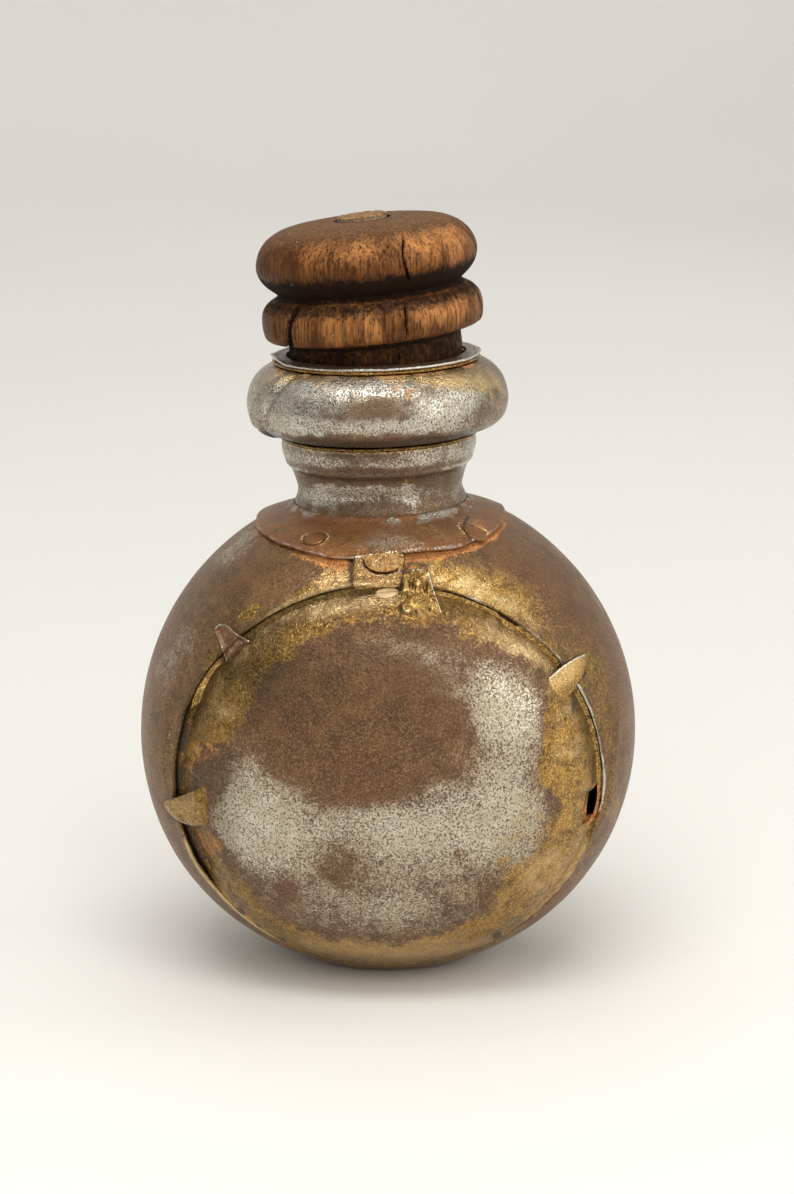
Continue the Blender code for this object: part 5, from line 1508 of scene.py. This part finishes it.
def paint_strap(obj, seed):
    P = places(obj)
    D = drawing(P)
    n = fbm(P, 4.0, 3, seed)
    n2 = fbm(P, 2.0, 2, seed + 1)
    head = obj is strap_head
    # painted highlight along the strap's lower edge and on the ridge round the rivet; painted shade in the crescent
    # under the rivet and along the strap's left edge
    lower = 1.0 - step(0.6, 2.2, np.abs(D[:, 1] - (583.2 + 0.080 * (D[:, 0] - 352.0))))
    crescent, _ = line_distance(D, ((364.5, 561), (367, 567), (374, 571.5), (386, 573.0), (396, 569.5)))
    soot = 0.0 * n if head else 0.95 * np.exp(-(crescent / 1.7) ** 2)
    soot = np.maximum(soot, 0.9 * (1.0 - step(0.0, 4.0, np.hypot(D[:, 0] - 352.0, D[:, 1] - 558.0))))
    ridge = 0.0 * n if head else np.exp(-((crescent - 3.6) / 1.3) ** 2) * step(560.0, 566.0, D[:, 1])
    gleam = np.maximum(0.85 * lower, np.maximum(0.7 * ridge, 0.25 * step(0.0, 0.5, n2)))
    if head:
        gleam = 0.20 * step(-0.2, 0.4, n2)
    shade = np.zeros(len(P)) if head else 0.75 * (1.0 - step(0.0, 2.0, np.abs(D[:, 0] - 352.0)))
    paint(obj, silver=0.22 + 0.1 * n, brass=0.80 + 0.2 * n, rust=(0.45 if head else 0.15) + 0.3 * step(0.1, 0.6, n), rubbed=0.38 * lower, gleam=gleam, soot=soot,
          copper=0.5 + 0.3 * n, shade=shade, olive=0.15 * step(0.0, 0.5, -n))


# ------------------------------------------------------------------ neck
def turned_shell(name, profile, wall, count_u, count_v, count_inner, displace, turn_matrix=NECK, origin=np.zeros(3)):
    """A turned sheet: profile runs down its outer side; displace(angle, r, z, P) moves it outwards."""
    pro = smooth_profile(profile, count_v)
    d = np.gradient(pro, axis=0)
    d /= np.linalg.norm(d, axis=1)[:, None]
    outward = np.stack((-d[:, 1], d[:, 0]), -1)
    w = np.linspace(-math.pi, math.pi, count_u, endpoint=False)
    a = w - 0.30 * np.sin(w)                       # 0 is the front
    A = np.repeat(a[:, None], count_v, 1)
    r0, z0 = pro[None, :, 0] + 0.0 * A, pro[None, :, 1] + 0.0 * A
    P0 = np.stack((r0 * np.sin(A), -r0 * np.cos(A), z0), -1)
    lift = displace(A, r0, z0, P0 @ turn_matrix.T + origin)
    r = r0 + outward[None, :, 0] * lift
    z = z0 + outward[None, :, 1] * lift
    P = np.stack((r * np.sin(A), -r * np.cos(A), z), -1)
    keep = np.round(np.linspace(0, count_v - 1, count_inner)).astype(int)[::-1]
    ri = (r - outward[None, :, 0] * wall)[:, keep]
    zi = (z - outward[None, :, 1] * wall)[:, keep]
    Ai = A[:, keep]
    I = np.stack((ri * np.sin(Ai), -ri * np.cos(Ai), zi), -1)
    loop = np.concatenate((P, I), axis=1) @ turn_matrix.T + origin
    return surface(name, loop, close_v=True)


COLLAR = [(24.8, 78.25), (25.1, 76.6), (24.8, 74.6), (23.9, 72.4), (22.5, 70.0), (21.7, 67.3), (21.35, 65.4), (21.5, 63.9), (21.95, 62.6), (22.2, 61.4),
          (22.1, 60.0), (21.8, 58.6), (21.8, 55.6)]
BULB = [(26.0, 97.7), (28.2, 97.0), (30.3, 95.6), (32.2, 93.3), (33.3, 90.6), (33.75, 87.7), (33.4, 85.0),
        (32.5, 82.9), (30.6, 81.3), (28.0, 80.2), (25.9, 79.6), (24.3, 79.4)]


def bulb_dents(A, r, z, P):
    lift = 0.20 * fbm(P, 20.0, 3, 301) + 0.07 * fbm(P, 5.0, 3, 303) - 0.16
    # lap seam at the left: two shallow ridges that run down the bulb
    deg = np.degrees(A)
    bend = -62.0 + 10.0 * np.sin((z - 88.0) / 8.0)
    lift += 0.60 * np.exp(-((deg - bend) / 2.0) ** 2) - 0.55 * np.exp(-((deg - bend - 5.0) / 2.0) ** 2) + 0.35 * np.exp(-((deg - bend + 9.0) / 2.4) ** 2)
    D = drawing(P)
    front = step(0.0, -10.0, P[..., 1])
    for x, y, s in ((412, 395, 7.0), (430, 425, 5.0), (300, 408, 6.0), (275, 420, 5.0), (346, 398, 8.0), (452, 412, 6.0)):
        d = np.hypot(D[..., 0] - x, D[..., 1] - y) / s
        lift += front * (-0.14 * np.exp(-d ** 2) + 0.05 * np.exp(-((d - 1.3) / 0.4) ** 2))
    return lift * step(79.5, 80.4, z) * (1.0 - 0.7 * step(96.6, 97.6, z)) - 0.05


def collar_dents(A, r, z, P):
    lift = 0.18 * fbm(P, 14.0, 3, 311) + 0.05 * fbm(P, 4.0, 2, 313) - 0.10
    # a low ridge below the bead, and flats hammered on the waist
    lift += 0.30 * np.exp(-((z - 72.2 + 0.6 * np.cos(A)) / 0.7) ** 2)
    lift -= 0.25 * np.exp(-((z - 65.2) / 1.8) ** 2) * (0.5 + 0.5 * np.cos(3.0 * A + 0.6))
    return lift * step(78.3, 77.4, z) * (0.25 + 0.75 * step(61.6, 63.4, z))


collar = turned_shell("collar_shell", COLLAR, SHEET, 360, 92, 16, collar_dents)
bulb = turned_shell("bulb_shell", BULB, 1.1, 420, 104, 16, bulb_dents)


def make_mouth(nu=420):
    """The flat ring on the bulb: wavy, with its left edge curled up."""
    w = np.linspace(-math.pi, math.pi, nu, endpoint=False)
    a = w - 0.30 * np.sin(w)
    deg = np.degrees(a)
    circle = np.stack((np.sin(a), -np.cos(a), 0.0 * a), -1) * 27.0
    outer = 26.62 + 0.30 * fbm(circle, 7.0, 3, 321) - 0.10 + 0.25 * around(deg, -84.0, 5.0, 9.0)
    inner = 23.05 + 0.10 * fbm(circle, 5.0, 2, 322)
    wave = 0.10 * np.sin(3.0 * a + 0.4) + 0.17 * fbm(circle, 8.0, 2, 323) - 0.26
    curl = 0.75 * around(deg, -80.0, 8.0, 14.0) + 0.35 * around(deg, 82.0, 10.0, 14.0)
    rows = []
    top = 99.72
    for s in np.linspace(0.0, 1.0, 18):
        radius = inner + (outer - inner) * s
        rows.append((radius, top + wave * s - 0.26 * np.exp(-((s - 0.45) / 0.22) ** 2) + 0.06 * np.sin(6.0 * a + 3.0 * s) + curl * step(0.55, 1.0, s)))
    edge_top = rows[-1][1]
    for b in (50.0, 10.0, -30.0, -70.0):
        rows.append((outer + 0.28 * math.cos(b * RAD), edge_top - 0.30 + 0.30 * math.sin(b * RAD)))
    for s in np.linspace(1.0, 0.0, 8):
        radius = inner + (outer - inner) * s
        rows.append((radius, np.minimum(top - 0.80 + wave * s * 0.8 + curl * step(0.55, 1.0, s), edge_top - 0.60 if s > 0.5 else top - 0.9)))
    P = np.stack([np.stack((r * np.sin(a), -r * np.cos(a), z), -1) for r, z in rows], 1)
    return surface("mouth_ring", P @ NECK.T, close_v=True)


def ring_run(name, inner, outer, low, high, seed, nu=300):
    """A run of brass or solder under a ring: lumpy, rounded section."""
    a = np.linspace(0.0, 2.0 * math.pi, nu, endpoint=False)
    circle = np.stack((np.sin(a), -np.cos(a), 0.0 * a), -1) * outer
    fat = 1.0 + 0.22 * fbm(circle, 4.0, 3, seed)
    rc, zc = (inner + outer) / 2.0, (low + high) / 2.0
    P = []
    for b in np.linspace(0.0, 2.0 * math.pi, 14, endpoint=False):
        r = rc + (outer - inner) / 2.0 * np.sign(math.cos(b)) * abs(math.cos(b)) ** 0.7 * np.where(math.cos(b) > 0, fat, 1.0)
        z = zc + (high - low) / 2.0 * math.sin(b) * np.minimum(fat, 1.1)
        P.append(np.stack((r * np.sin(a), -r * np.cos(a), z + 0.0 * a), -1))
    return surface(name, np.stack(P, 1) @ NECK.T, close_v=True)


mouth = make_mouth()
mouth_run = ring_run("mouth_brass_run", 24.7, 26.6, 97.85, 98.75, 331)
bulb_run = ring_run("bulb_brass_run", 23.0, 25.35, 78.35, 79.25, 332)
foot_run = ring_run("neck_foot_brass_run", 22.15, 24.2, 56.2, 57.0, 333)


def paint_bulb(obj):
    P = places(obj)
    D0 = drawing(P)
    wob = np.stack((fbm(P, 5.5, 4, 341), fbm(P, 5.5, 4, 342)), -1)
    D = D0 + wob * 8.0
    turn, radius, z = neck_polar(P)
    front = step(4.0, -10.0, P[:, 1])
    n = fbm(P, 9.0, 3, 343)
    silver = 0.34 + 0.16 * n
    # less bare metal across the middle and along the lower edge: a painted dark reflection across the middle and
    # painted shade along the lower edge
    silver += front * (over(D, ((285, 402, 38, 28, 10, 0.42), (360, 388, 60, 11, -2, 0.40), (446, 406, 36, 14, -12, 0.46), (380, 428, 90, 8, 0, 0.34), (330, 400, 30, 12, 0, 0.2)))
                       - 0.10 * spot(D, 382, 411, 46, 11, 5, 0.85) - 0.36 * step(432.0, 441.0, D[:, 1]) + 0.06 * spot(D, 400, 376, 90, 9, 2, 0.85))
    brass = 0.14 + 0.20 * n + front * over(D, ((420, 374, 84, 12, 8, 0.60), (320, 372, 60, 9, -8, 0.55), (492, 385, 14, 20, 0, 0.24), (350, 442, 110, 5, 0, 0.08)))
    brass -= front * 0.20 * spot(D, 285, 410, 40, 26, 0)
    rust = front * 0.60 * (spot(D0 + wob * 2.0, 412, 395, 8, 7, 0, 0.4) - spot(D0, 414, 396, 4, 4, 0, 0.4))
    rust = np.maximum(rust, 0.58 * step(96.6, 97.5, z) * step(-0.4, 0.2, n))
    rust = np.maximum(rust, front * 0.42 * spot(D, 400, 390, 7, 3, 0, 0.5))
    # painted shade on the underside; the heat mark across the middle is a painted dark reflection; a painted highlight
    # along the top
    soot = 0.80 * step(84.0, 81.0, z)
    heat = front * 0.40 * spot(D, 372, 414, 60, 12, 3) + 0.95 * step(84.6, 82.0, z)
    gleam = front * 0.80 * spot(D, 385, 379, 100, 9, 2, 0.8) * (0.6 + 0.4 * step(-0.3, 0.3, n))
    silver += (1.0 - front) * 0.26 * step(-0.3, 0.4, n + 0.4 * np.sin(np.radians(3.0 * turn)))
    paint(obj, silver=silver, brass=brass, rust=rust, soot=soot, heat=heat, gleam=gleam)


def paint_collar(obj):
    P = places(obj)
    D0 = drawing(P)
    wob = np.stack((fbm(P, 5.0, 4, 351), fbm(P, 5.0, 4, 352)), -1)
    D = D0 + wob * 7.0
    turn, radius, z = neck_polar(P)
    front = step(4.0, -8.0, P[:, 1])
    n = fbm(P, 8.0, 3, 353)
    silver = 0.20 + 0.18 * n + 0.34 * step(72.6, 74.5, z)
    silver += 0.40 * np.exp(-((z - 72.2 + 0.6 * np.cos(np.radians(turn))) / 0.9) ** 2)
    silver += front * over(D, ((324, 500, 17, 13, 0, 0.52), (409, 499, 8, 16, -25, 0.45), (372, 492, 60, 9, 0, 0.46), (468, 486, 14, 30, 6, 0.30), (350, 505, 40, 10, 0, 0.15)))
    # painted shade: the band under the bead loses bare metal and gets the heat and shade marks below; the bead itself
    # is toned down
    silver -= front * (0.46 * spot(D, 380, 477, 80, 8, 0) + 0.16 * spot(D, 372, 456, 50, 9, 0))
    brass = 0.10 + 0.16 * n + 0.46 * step(77.2, 78.2, z)
    rust = 0.25 * step(0.1, 0.5, n) + front * 0.40 * spot(D, 405, 486, 5, 14, 0, 0.5)
    foot = np.exp(-((z - 62.0) / 0.7) ** 2)
    rubbed = front * 0.35 * foot * spot(D, 374, 516, 34, 8, 0, 0.4)
    soot = 0.25 * step(61.2, 60.4, z)
    silver -= 0.40 * step(64.4, 62.4, z + 0.9 * n) * step(-0.2, 0.2, -fbm(P, 4.5, 3, 354))
    heat = 0.40 * step(71.5, 69.5, z) * step(62.0, 64.5, z)
    heat = np.maximum(heat, front * 0.95 * spot(D, 380, 477, 80, 8, 0, 0.8))
    shade = front * (0.30 * spot(D, 380, 477, 80, 7, 0, 0.8) + 0.22 * spot(D, 300, 478, 16, 12, 0, 0.8))
    paint(obj, silver=silver, brass=brass, rust=rust, soot=soot, heat=heat, rubbed=rubbed, shade=shade)


def paint_mouth(obj):
    P = places(obj)
    turn, radius, z = neck_polar(P)
    n = fbm(P, 5.0, 3, 361)
    rim = step(26.2, 26.6, radius)
    under = step(99.1, 98.8, z)
    # painted shade on the inner part of the ring, next to the stopper
    paint(obj, silver=0.16 + 0.4 * step(0.1, 0.6, n) * (1.0 - rim) + 0.35 * step(50.0, 90.0, turn), rubbed=0.95 * rim * (1.0 - under), soot=0.60 * step(25.6, 23.6, radius),
          heat=0.75 * (1.0 - rim) * step(-0.5, 0.2, n), brass=0.10 + 0.0 * n, rust=0.55 * under * step(-0.5, 0.2, n))


def paint_ring(obj, seed, brass=0.9, rust=0.3):
    P = places(obj)
    n = fbm(P, 4.0, 3, seed)
    paint(obj, brass=brass + 0.2 * n, rust=rust * step(-0.1, 0.5, n), soot=0.25 * step(0.2, 0.6, n), silver=0.2 + 0.0 * n)


def paint_small(obj, seed):
    P = places(obj)
    n = fbm(P, 2.6, 3, seed)
    paint(obj, silver=0.24 + 0.2 * n, brass=0.30 + 0.25 * n, rust=0.35 * step(0.1, 0.5, n), heat=0.2 + 0.0 * n)


# ------------------------------------------------------------------ stopper
STOPPER = [(0.0, 34.25), (5.0, 34.25), (10.0, 34.15), (14.0, 34.0), (18.0, 33.6), (21.0, 33.0), (23.3, 32.1), (25.3, 30.8), (27.0, 28.8),
           (27.95, 26.6), (28.3, 24.6), (28.1, 22.8), (27.4, 21.0), (26.2, 19.4), (24.8, 18.1), (23.75, 17.2), (23.6, 16.8),
           (24.6, 16.1), (26.1, 15.2), (27.4, 13.9), (28.1, 12.4), (28.4, 10.4), (28.35, 8.6), (28.1, 7.0), (27.6, 5.95), (26.6, 5.5), (25.0, 5.2),
           (23.3, 4.95), (22.5, 4.4), (22.2, 3.4), (22.25, 1.6), (22.2, 0.0), (21.9, -3.0), (21.6, -6.0), (21.0, -10.0), (20.4, -14.0), (19.8, -18.0), (19.3, -21.0),
           (18.7, -22.0), (17.0, -22.2), (9.0, -22.2), (0.0, -22.2)]

# cracks on the drawing: line, half width in drawing units, depth in mm
CRACKS = ((((402, 232), (404, 240), (403, 248), (404, 257), (406, 266), (408, 275), (410, 284)), 0.95, 1.5),
          (((405, 303), (406, 316), (407, 328), (408, 338)), 0.85, 1.5),
          (((298, 306), (293, 314), (289, 322), (287, 330), (288, 340), (290, 347), (292, 352)), 2.5, 2.0),
          (((274, 325), (275, 334), (277, 343)), 0.7, 0.9), (((353, 360), (352, 367)), 0.8, 0.8), (((400, 352), (399, 361)), 0.8, 0.8),
          (((429, 262), (431, 270)), 0.6, 0.4), (((384, 313), (385, 322), (384, 330)), 0.5, 0.4), (((330, 330), (331, 338)), 0.5, 0.4))
# the same kind of cracks elsewhere: angle from the front in degrees, low and high end along the axis, half width, depth
SIDE_CRACKS = ((128.0, 19.0, 33.0, 0.5, 1.6), (131.0, 6.0, 15.0, 0.45, 1.2), (-118.0, 6.5, 14.5, 0.6, 1.4), (-160.0, 18.5, 31.0, 0.4, 1.2), (78.0, 6.0, 13.0, 0.35, 0.8),
               (170.0, 6.0, 14.0, 0.4, 1.0))


def make_stopper(nu=470, nv=168):
    pro = smooth_profile(STOPPER, nv)
    d = np.gradient(pro, axis=0)
    d /= np.linalg.norm(d, axis=1)[:, None]
    out = np.stack((-d[:, 1], d[:, 0]), -1)
    w = np.linspace(-math.pi, math.pi, nu, endpoint=False)
    a = w - 0.38 * np.sin(w)
    A = np.repeat(a[:, None], nv, 1)
    r0, s0 = pro[None, :, 0] + 0.0 * A, pro[None, :, 1] + 0.0 * A
    P0 = np.stack((r0 * np.sin(A), -r0 * np.cos(A), s0), -1)
    world = P0 @ STOP.T + MOUTH
    body = step(0.0, 8.0, r0)
    lift = 0.16 * fbm(P0, 15.0, 3, 401) + 0.06 * fbm(P0 * np.array((1.0, 1.0, 0.22)), 1.5, 2, 403) - 0.16
    # knife facets on both beads
    lift += body * 0.14 * np.cos(9.0 * A + 0.7 * np.sin(s0 * 0.4)) * np.exp(-((s0 - 25.0) / 6.0) ** 2)
    lift += body * 0.10 * np.cos(7.0 * A + 1.0) * np.exp(-((s0 - 10.0) / 4.0) ** 2)
    lift += 0.10 * np.exp(-((s0 - 21.4) / 0.5) ** 2) * np.sin(2.0 * A)
    D = drawing(world)
    wob = np.stack((perlin(P0, 1.2, 405), perlin(P0, 1.2, 406)), -1)
    facing = step(-2.0, -8.0, world[..., 1])
    deep = np.zeros_like(lift)
    for line, half, depth in CRACKS:
        dist, along = line_distance(D + wob * 0.5, line)
        ends = np.clip(np.minimum(along, 1.0 - along) * 8.0, 0.25, 1.0)
        deep = np.maximum(deep, facing * depth * ends * np.exp(-(dist / (half * ends ** 0.5)) ** 4))
    for at, low, high, half, depth in SIDE_CRACKS:
        off = (np.degrees(A) - at + 2.0 * np.sin(s0 * 0.5)) * RAD * r0
        along = (s0 - low) / (high - low)
        ends = np.where((along > 0.0) & (along < 1.0), np.sin(np.clip(along, 0.0, 1.0) * math.pi) ** 0.4, 0.0)
        deep = np.maximum(deep, depth * ends * np.exp(-(off / half) ** 4) * (r0 > 20.0))
    lift = lift - deep
    # the narrow ledge under the lower bead stays clear of the mouth
    lift = np.where((s0 < 4.0), np.minimum(lift, -0.02), lift)
    r = np.maximum(r0 + out[None, :, 0] * lift, 0.0)
    s = s0 + out[None, :, 1] * lift
    P = np.stack((r * np.sin(A), -r * np.cos(A), s), -1) @ STOP.T + MOUTH
    obj = surface("turned_stopper", P, pole_start=True, pole_end=True)
    combine(obj, tube("peg_hole", 6.85, 24.4, 40.0, (STOP, MOUTH), 72), "DIFFERENCE")
    return obj


def make_peg(nu=110):
    """The round plug let into the top: rough broken end grain, a little askew."""
    a = np.linspace(-math.pi, math.pi, nu, endpoint=False)
    rows = []
    for s in np.linspace(0.0, 1.0, 26):
        r = 6.35 * s * (1.0 + 0.025 * np.sin(3.0 * a + 0.6) * s)
        P = np.stack((r * np.sin(a), -r * np.cos(a), 0.0 * a), -1)
        z = 35.2 + 0.30 * fbm(P, 2.0, 3, 421) + 0.02 * P[:, 0] - 0.35 * step(0.90, 1.0, s)
        rows.append(np.stack((P[:, 0], P[:, 1], z), -1))
    for z in (34.3, 33.0, 30.0, 25.2):
        r = 6.35 * (1.0 + 0.025 * np.sin(3.0 * a + 0.6)) + 0.04 * np.sin(14.0 * a)
        rows.append(np.stack((r * np.sin(a), -r * np.cos(a), z + 0.0 * a), -1))
    rows.append(np.stack((0.0 * a, 0.0 * a, 24.9 + 0.0 * a), -1))
    return surface("golden_peg", np.stack(rows, 1) @ STOP.T + MOUTH, pole_start=True, pole_end=True)


stopper = make_stopper()
peg = make_peg()


def paint_stopper(obj):
    P = places(obj)
    local = (P - MOUTH) @ STOP
    s = local[:, 2]
    r = np.hypot(local[:, 0], local[:, 1])
    D0 = drawing(P)
    wob = np.stack((fbm(P, 6.0, 3, 411), fbm(P, 6.0, 3, 412)), -1)
    D = D0 + wob * 6.0
    front = step(4.0, -6.0, P[:, 1])
    n = fbm(local * np.array((1.0, 1.0, 0.5)), 8.0, 3, 413)
    wear = 0.22 + 0.25 * n - 0.30 * step(30.5, 33.2, s)
    wear += front * 0.32 * spot(D, 352, 252, 78, 16, -8, 0.8)
    wear += front * 0.40 * spot(D, 446, 240, 40, 26, 10, 0.8)
    wear += front * 0.26 * spot(D, 370, 318, 70, 20, -6, 0.7)
    wear += front * 0.32 * spot(D, 448, 308, 38, 16, -10, 0.7)
    wear -= front * 0.22 * spot(D, 278, 250, 22, 40, 0, 0.7)
    wear += (1.0 - front) * 0.22 * np.exp(-((s - 25.0) / 4.5) ** 2)
    wear += (1.0 - front) * 0.20 * np.exp(-((s - 11.0) / 3.5) ** 2)
    dust = step(31.0, 33.4, s) * 0.9
    dust = np.maximum(dust, 0.12 * np.exp(-((s - 14.6) / 1.2) ** 2))
    dust = np.maximum(dust, 0.55 * step(29.6, 32.0, s))
    # painted shade with dirt: the groove between the beads, the top bead's underside, the lower bead's upper face,
    # under the lower bead and the plug in the mouth
    grime = 0.95 * np.exp(-((s - 17.4) / 1.9) ** 2)
    grime = np.maximum(grime, 0.85 * np.exp(-((s - 4.2) / 1.1) ** 2))
    grime = np.maximum(grime, 0.95 * step(25.6, 19.6, s + 1.2 * n) * step(15.8, 17.0, s))
    grime = np.maximum(grime, 0.66 * step(17.2, 15.2, s) * step(10.5, 14.8, s))
    grime = np.maximum(grime, 0.62 * step(4.8, 3.2, s) + 0.25 * n)
    # dark lining of the cracks, painted shade and dirt
    surface_r = np.interp(s, [p[1] for p in STOPPER[::-1]], [p[0] for p in STOPPER[::-1]])
    sunk = np.where((s < 30.0) & (s > -20.0), surface_r - r - 0.45, 0.0)
    grime = np.maximum(grime, step(0.05, 0.5, sunk))
    hole = step(7.6, 7.0, r) * step(35.0, 33.9, s)
    grime = np.maximum(grime, hole)
    paint(obj, wear=wear, dust=dust * (1.0 - hole), grime=grime)


def paint_peg(obj):
    P = places(obj)
    local = (P - MOUTH) @ STOP
    paint(obj, dust=0.5 * step(34.9, 34.4, local[:, 2]))


# ------------------------------------------------------------------ finish every piece
for piece in [strap, plate, front_run, rear_run] + [t for t, _ in TEETH] + REAR_TEETH:
    cap_fix(piece)
paint_hoop(hoop)
paint_front(front_dish)
paint_rear(rear_dish)
paint_run(front_run, FRONT, 83)
paint_run(rear_run, REAR, 93)
paint_plate(plate)
paint_strap(strap, 251)
paint_strap(strap_head, 252)
paint_bulb(bulb)
paint_collar(collar)
paint_mouth(mouth)
paint_ring(mouth_run, 371, 0.75, 0.7)
paint_ring(bulb_run, 372, 1.0, 0.25)
paint_ring(foot_run, 373, 0.9, 0.4)
for k, (head, _) in enumerate(heads):
    paint_small(head, 381 + k)
for k, (piece, which) in enumerate(TEETH):
    paint_tooth(piece, which, 451 + 7 * k)
for k, piece in enumerate(REAR_TEETH):
    paint_tooth(piece, "", 481 + 7 * k)
paint_stopper(stopper)
paint_peg(peg)

wear_in(stopper, "stopper", "stopper", WOOD_LOOK, 42.0)
wear_in(peg, "stopper", "stopper_peg", PEG_LOOK, 40.0)
wear_in(hoop, "flask", "body_hoop", HOOP_LOOK)
wear_in(front_dish, "flask", "front_panel", PANEL_LOOK)
wear_in(rear_dish, "flask", "rear_panel", PANEL_LOOK)
for piece, which in TEETH:
    wear_in(piece, "flask", "front_panel", TAB_LOOK if which == "top" else TOOTH_LOOK)
for piece in REAR_TEETH:
    wear_in(piece, "flask", "rear_panel", TOOTH_LOOK)
wear_in(front_run, "flask", "front_seam_braze", BRASS_LOOK)
wear_in(rear_run, "flask", "rear_seam_braze", BRASS_LOOK)
wear_in(plate, "flask", "shoulder_plate", PLATE_LOOK)
wear_in(strap, "flask", "seam_strap", STRAP_LOOK)
wear_in(strap_head, "flask", "strap_rivet", STRAP_LOOK)
wear_in(bulb, "flask", "neck_bulb", NECK_LOOK)
wear_in(collar, "flask", "neck_collar", NECK_LOOK)
wear_in(mouth, "flask", "mouth_plate", NECK_LOOK)
wear_in(mouth_run, "flask", "mouth_braze", BRASS_LOOK)
wear_in(bulb_run, "flask", "bulb_braze", BRASS_LOOK)
wear_in(foot_run, "flask", "neck_foot_braze", BRASS_LOOK)
for head, node in heads:
    wear_in(head, "flask", node, PLATE_LOOK)


# ------------------------------------------------------------------ stage, light, camera (metres from here on)
def make_stage():
    """A round pale floor that sweeps up into a wall all the way round."""
    rows = [(0.0, 0.0)] + [(r, 0.0) for r in (0.1, 0.3, 0.6, 1.0, 1.4, 1.8)]
    for b in np.linspace(0.0, math.pi / 2, 18)[1:]:
        rows.append((1.8 + 1.5 * math.sin(b), 1.5 - 1.5 * math.cos(b)))
    rows.append((3.3, 3.4))
    a = np.linspace(0.0, 2.0 * math.pi, 96, endpoint=False)
    points = [np.zeros(3)]
    for r, z in rows[1:]:
        points += [np.array((r * math.sin(t), -r * math.cos(t), z)) for t in a]
    faces = [(0, 1 + j, 1 + (j + 1) % 96) for j in range(96)]
    for i in range(len(rows) - 2):
        for j in range(96):
            a0, b0 = 1 + i * 96 + j, 1 + i * 96 + (j + 1) % 96
            faces.append((a0, a0 + 96, b0 + 96, b0))
    mesh = bpy.data.meshes.new("pale_sweep")
    mesh.from_pydata([tuple(p) for p in points], [], faces)
    mesh.shade_smooth()
    obj = bpy.data.objects.new("pale_sweep", mesh)
    bpy.context.scene.collection.objects.link(obj)
    k = Look("pale_paper")
    tone = k.noise(900.0, 2.0, 0.5, 0.0)
    k.put(k.mix(k.ramp(tone, 0.3, 0.7), (0.695, 0.684, 0.660), (0.725, 0.714, 0.690)), k.shader.inputs["Base Color"])
    k.shader.inputs["Roughness"].default_value = 0.9
    k.shader.inputs["Specular IOR Level"].default_value = 0.15
    mesh.materials.append(k.material)
    return obj


make_stage()


def dark_screen(name, from_azimuth, to_azimuth, low, high, radius):
    """A curved dark cloth that stands round part of the table, out of the picture; it gives the metal its dark tones."""
    n = 40
    t = np.radians(np.linspace(from_azimuth, to_azimuth, n))
    points = [(radius * math.sin(a), -radius * math.cos(a), z) for z in (low, (low + high) / 2.0, high) for a in t]
    faces = [(r * n + i, r * n + i + 1, (r + 1) * n + i + 1, (r + 1) * n + i) for r in (0, 1) for i in range(n - 1)]
    mesh = bpy.data.meshes.new(name)
    mesh.from_pydata(points, [], faces)
    obj = bpy.data.objects.new(name, mesh)
    bpy.context.scene.collection.objects.link(obj)
    k = Look(name)
    k.put(k.mix(k.noise(200.0), (0.035, 0.033, 0.030), (0.060, 0.056, 0.050)), k.shader.inputs["Base Color"])
    k.shader.inputs["Roughness"].default_value = 0.95
    mesh.materials.append(k.material)
    obj.visible_camera = False
    obj.visible_diffuse = False
    obj.visible_shadow = False
    return obj


dark_screen("dark_screen_left", -84.0, -26.0, 0.12, 1.05, 1.25)
dark_screen("dark_screen_front", -26.0, 27.0, 0.12, 0.55, 1.25)


def softbox(name, place, aim, wide, tall, power, colour=(1.0, 1.0, 1.0)):
    light = bpy.data.lights.new(name, "AREA")
    light.shape = "RECTANGLE"
    light.size = wide
    light.size_y = tall
    light.energy = power
    light.color = colour
    obj = bpy.data.objects.new(name, light)
    bpy.context.scene.collection.objects.link(obj)
    obj.location = place
    obj.rotation_mode = "QUATERNION"
    obj.rotation_quaternion = (Vector(aim) - Vector(place)).to_track_quat("-Z", "Y")
    obj.visible_camera = False
    return obj


softbox("key_right", (1.25, -0.98, 0.62), (0.0, 0.0, 0.08), 0.95, 1.15, 6.8, (1.0, 0.98, 0.935))
softbox("side_right", (1.55, 0.15, 0.95), (0.0, 0.0, 0.08), 0.8, 0.8, 5.0, (1.0, 0.985, 0.955))
softbox("top_front", (-0.05, -0.66, 1.50), (0.0, 0.0, 0.08), 1.15, 0.44, 13.5, (1.0, 0.99, 0.965))
softbox("overhead", (0.0, 0.50, 2.4), (0.0, 0.3, 0.0), 2.5, 2.5, 17.5, (1.0, 0.99, 0.97))
softbox("left_fill", (-1.6, -0.3, 0.9), (0.0, 0.0, 0.08), 0.8, 1.2, 1.8, (1.0, 0.985, 0.96))
front_fill = softbox("front_fill", (0.0, -1.75, 1.35), (0.0, 0.0, 0.0), 2.2, 1.3, 19.0, (1.0, 0.995, 0.985))
front_fill.visible_glossy = False
rear_wash = softbox("rear_wash", (-0.4, 1.7, 1.9), (-0.2, 2.6, 0.3), 1.6, 0.9, 10.0, (1.0, 0.995, 0.985))
rear_wash.visible_glossy = False

world = bpy.data.worlds.new("soft_world")
bpy.context.scene.world = world
world.use_nodes = True
world.node_tree.nodes["Background"].inputs["Color"].default_value = (0.95, 0.94, 0.91, 1.0)
world.node_tree.nodes["Background"].inputs["Strength"].default_value = 0.42

camera = bpy.data.cameras.new("camera")
camera.sensor_width = 36.0
camera.lens = 90.0
camera.clip_start = 0.05
camera.clip_end = 30.0
view = bpy.data.objects.new("camera", camera)
bpy.context.scene.collection.objects.link(view)
view.location = (0.00237, -0.75629, 0.28007)
view.rotation_euler = (76.5 * RAD, 0.0, 0.0)
bpy.context.scene.camera = view
bpy.context.scene.view_settings.view_transform = "Standard"
bpy.context.scene.view_settings.look = "None"
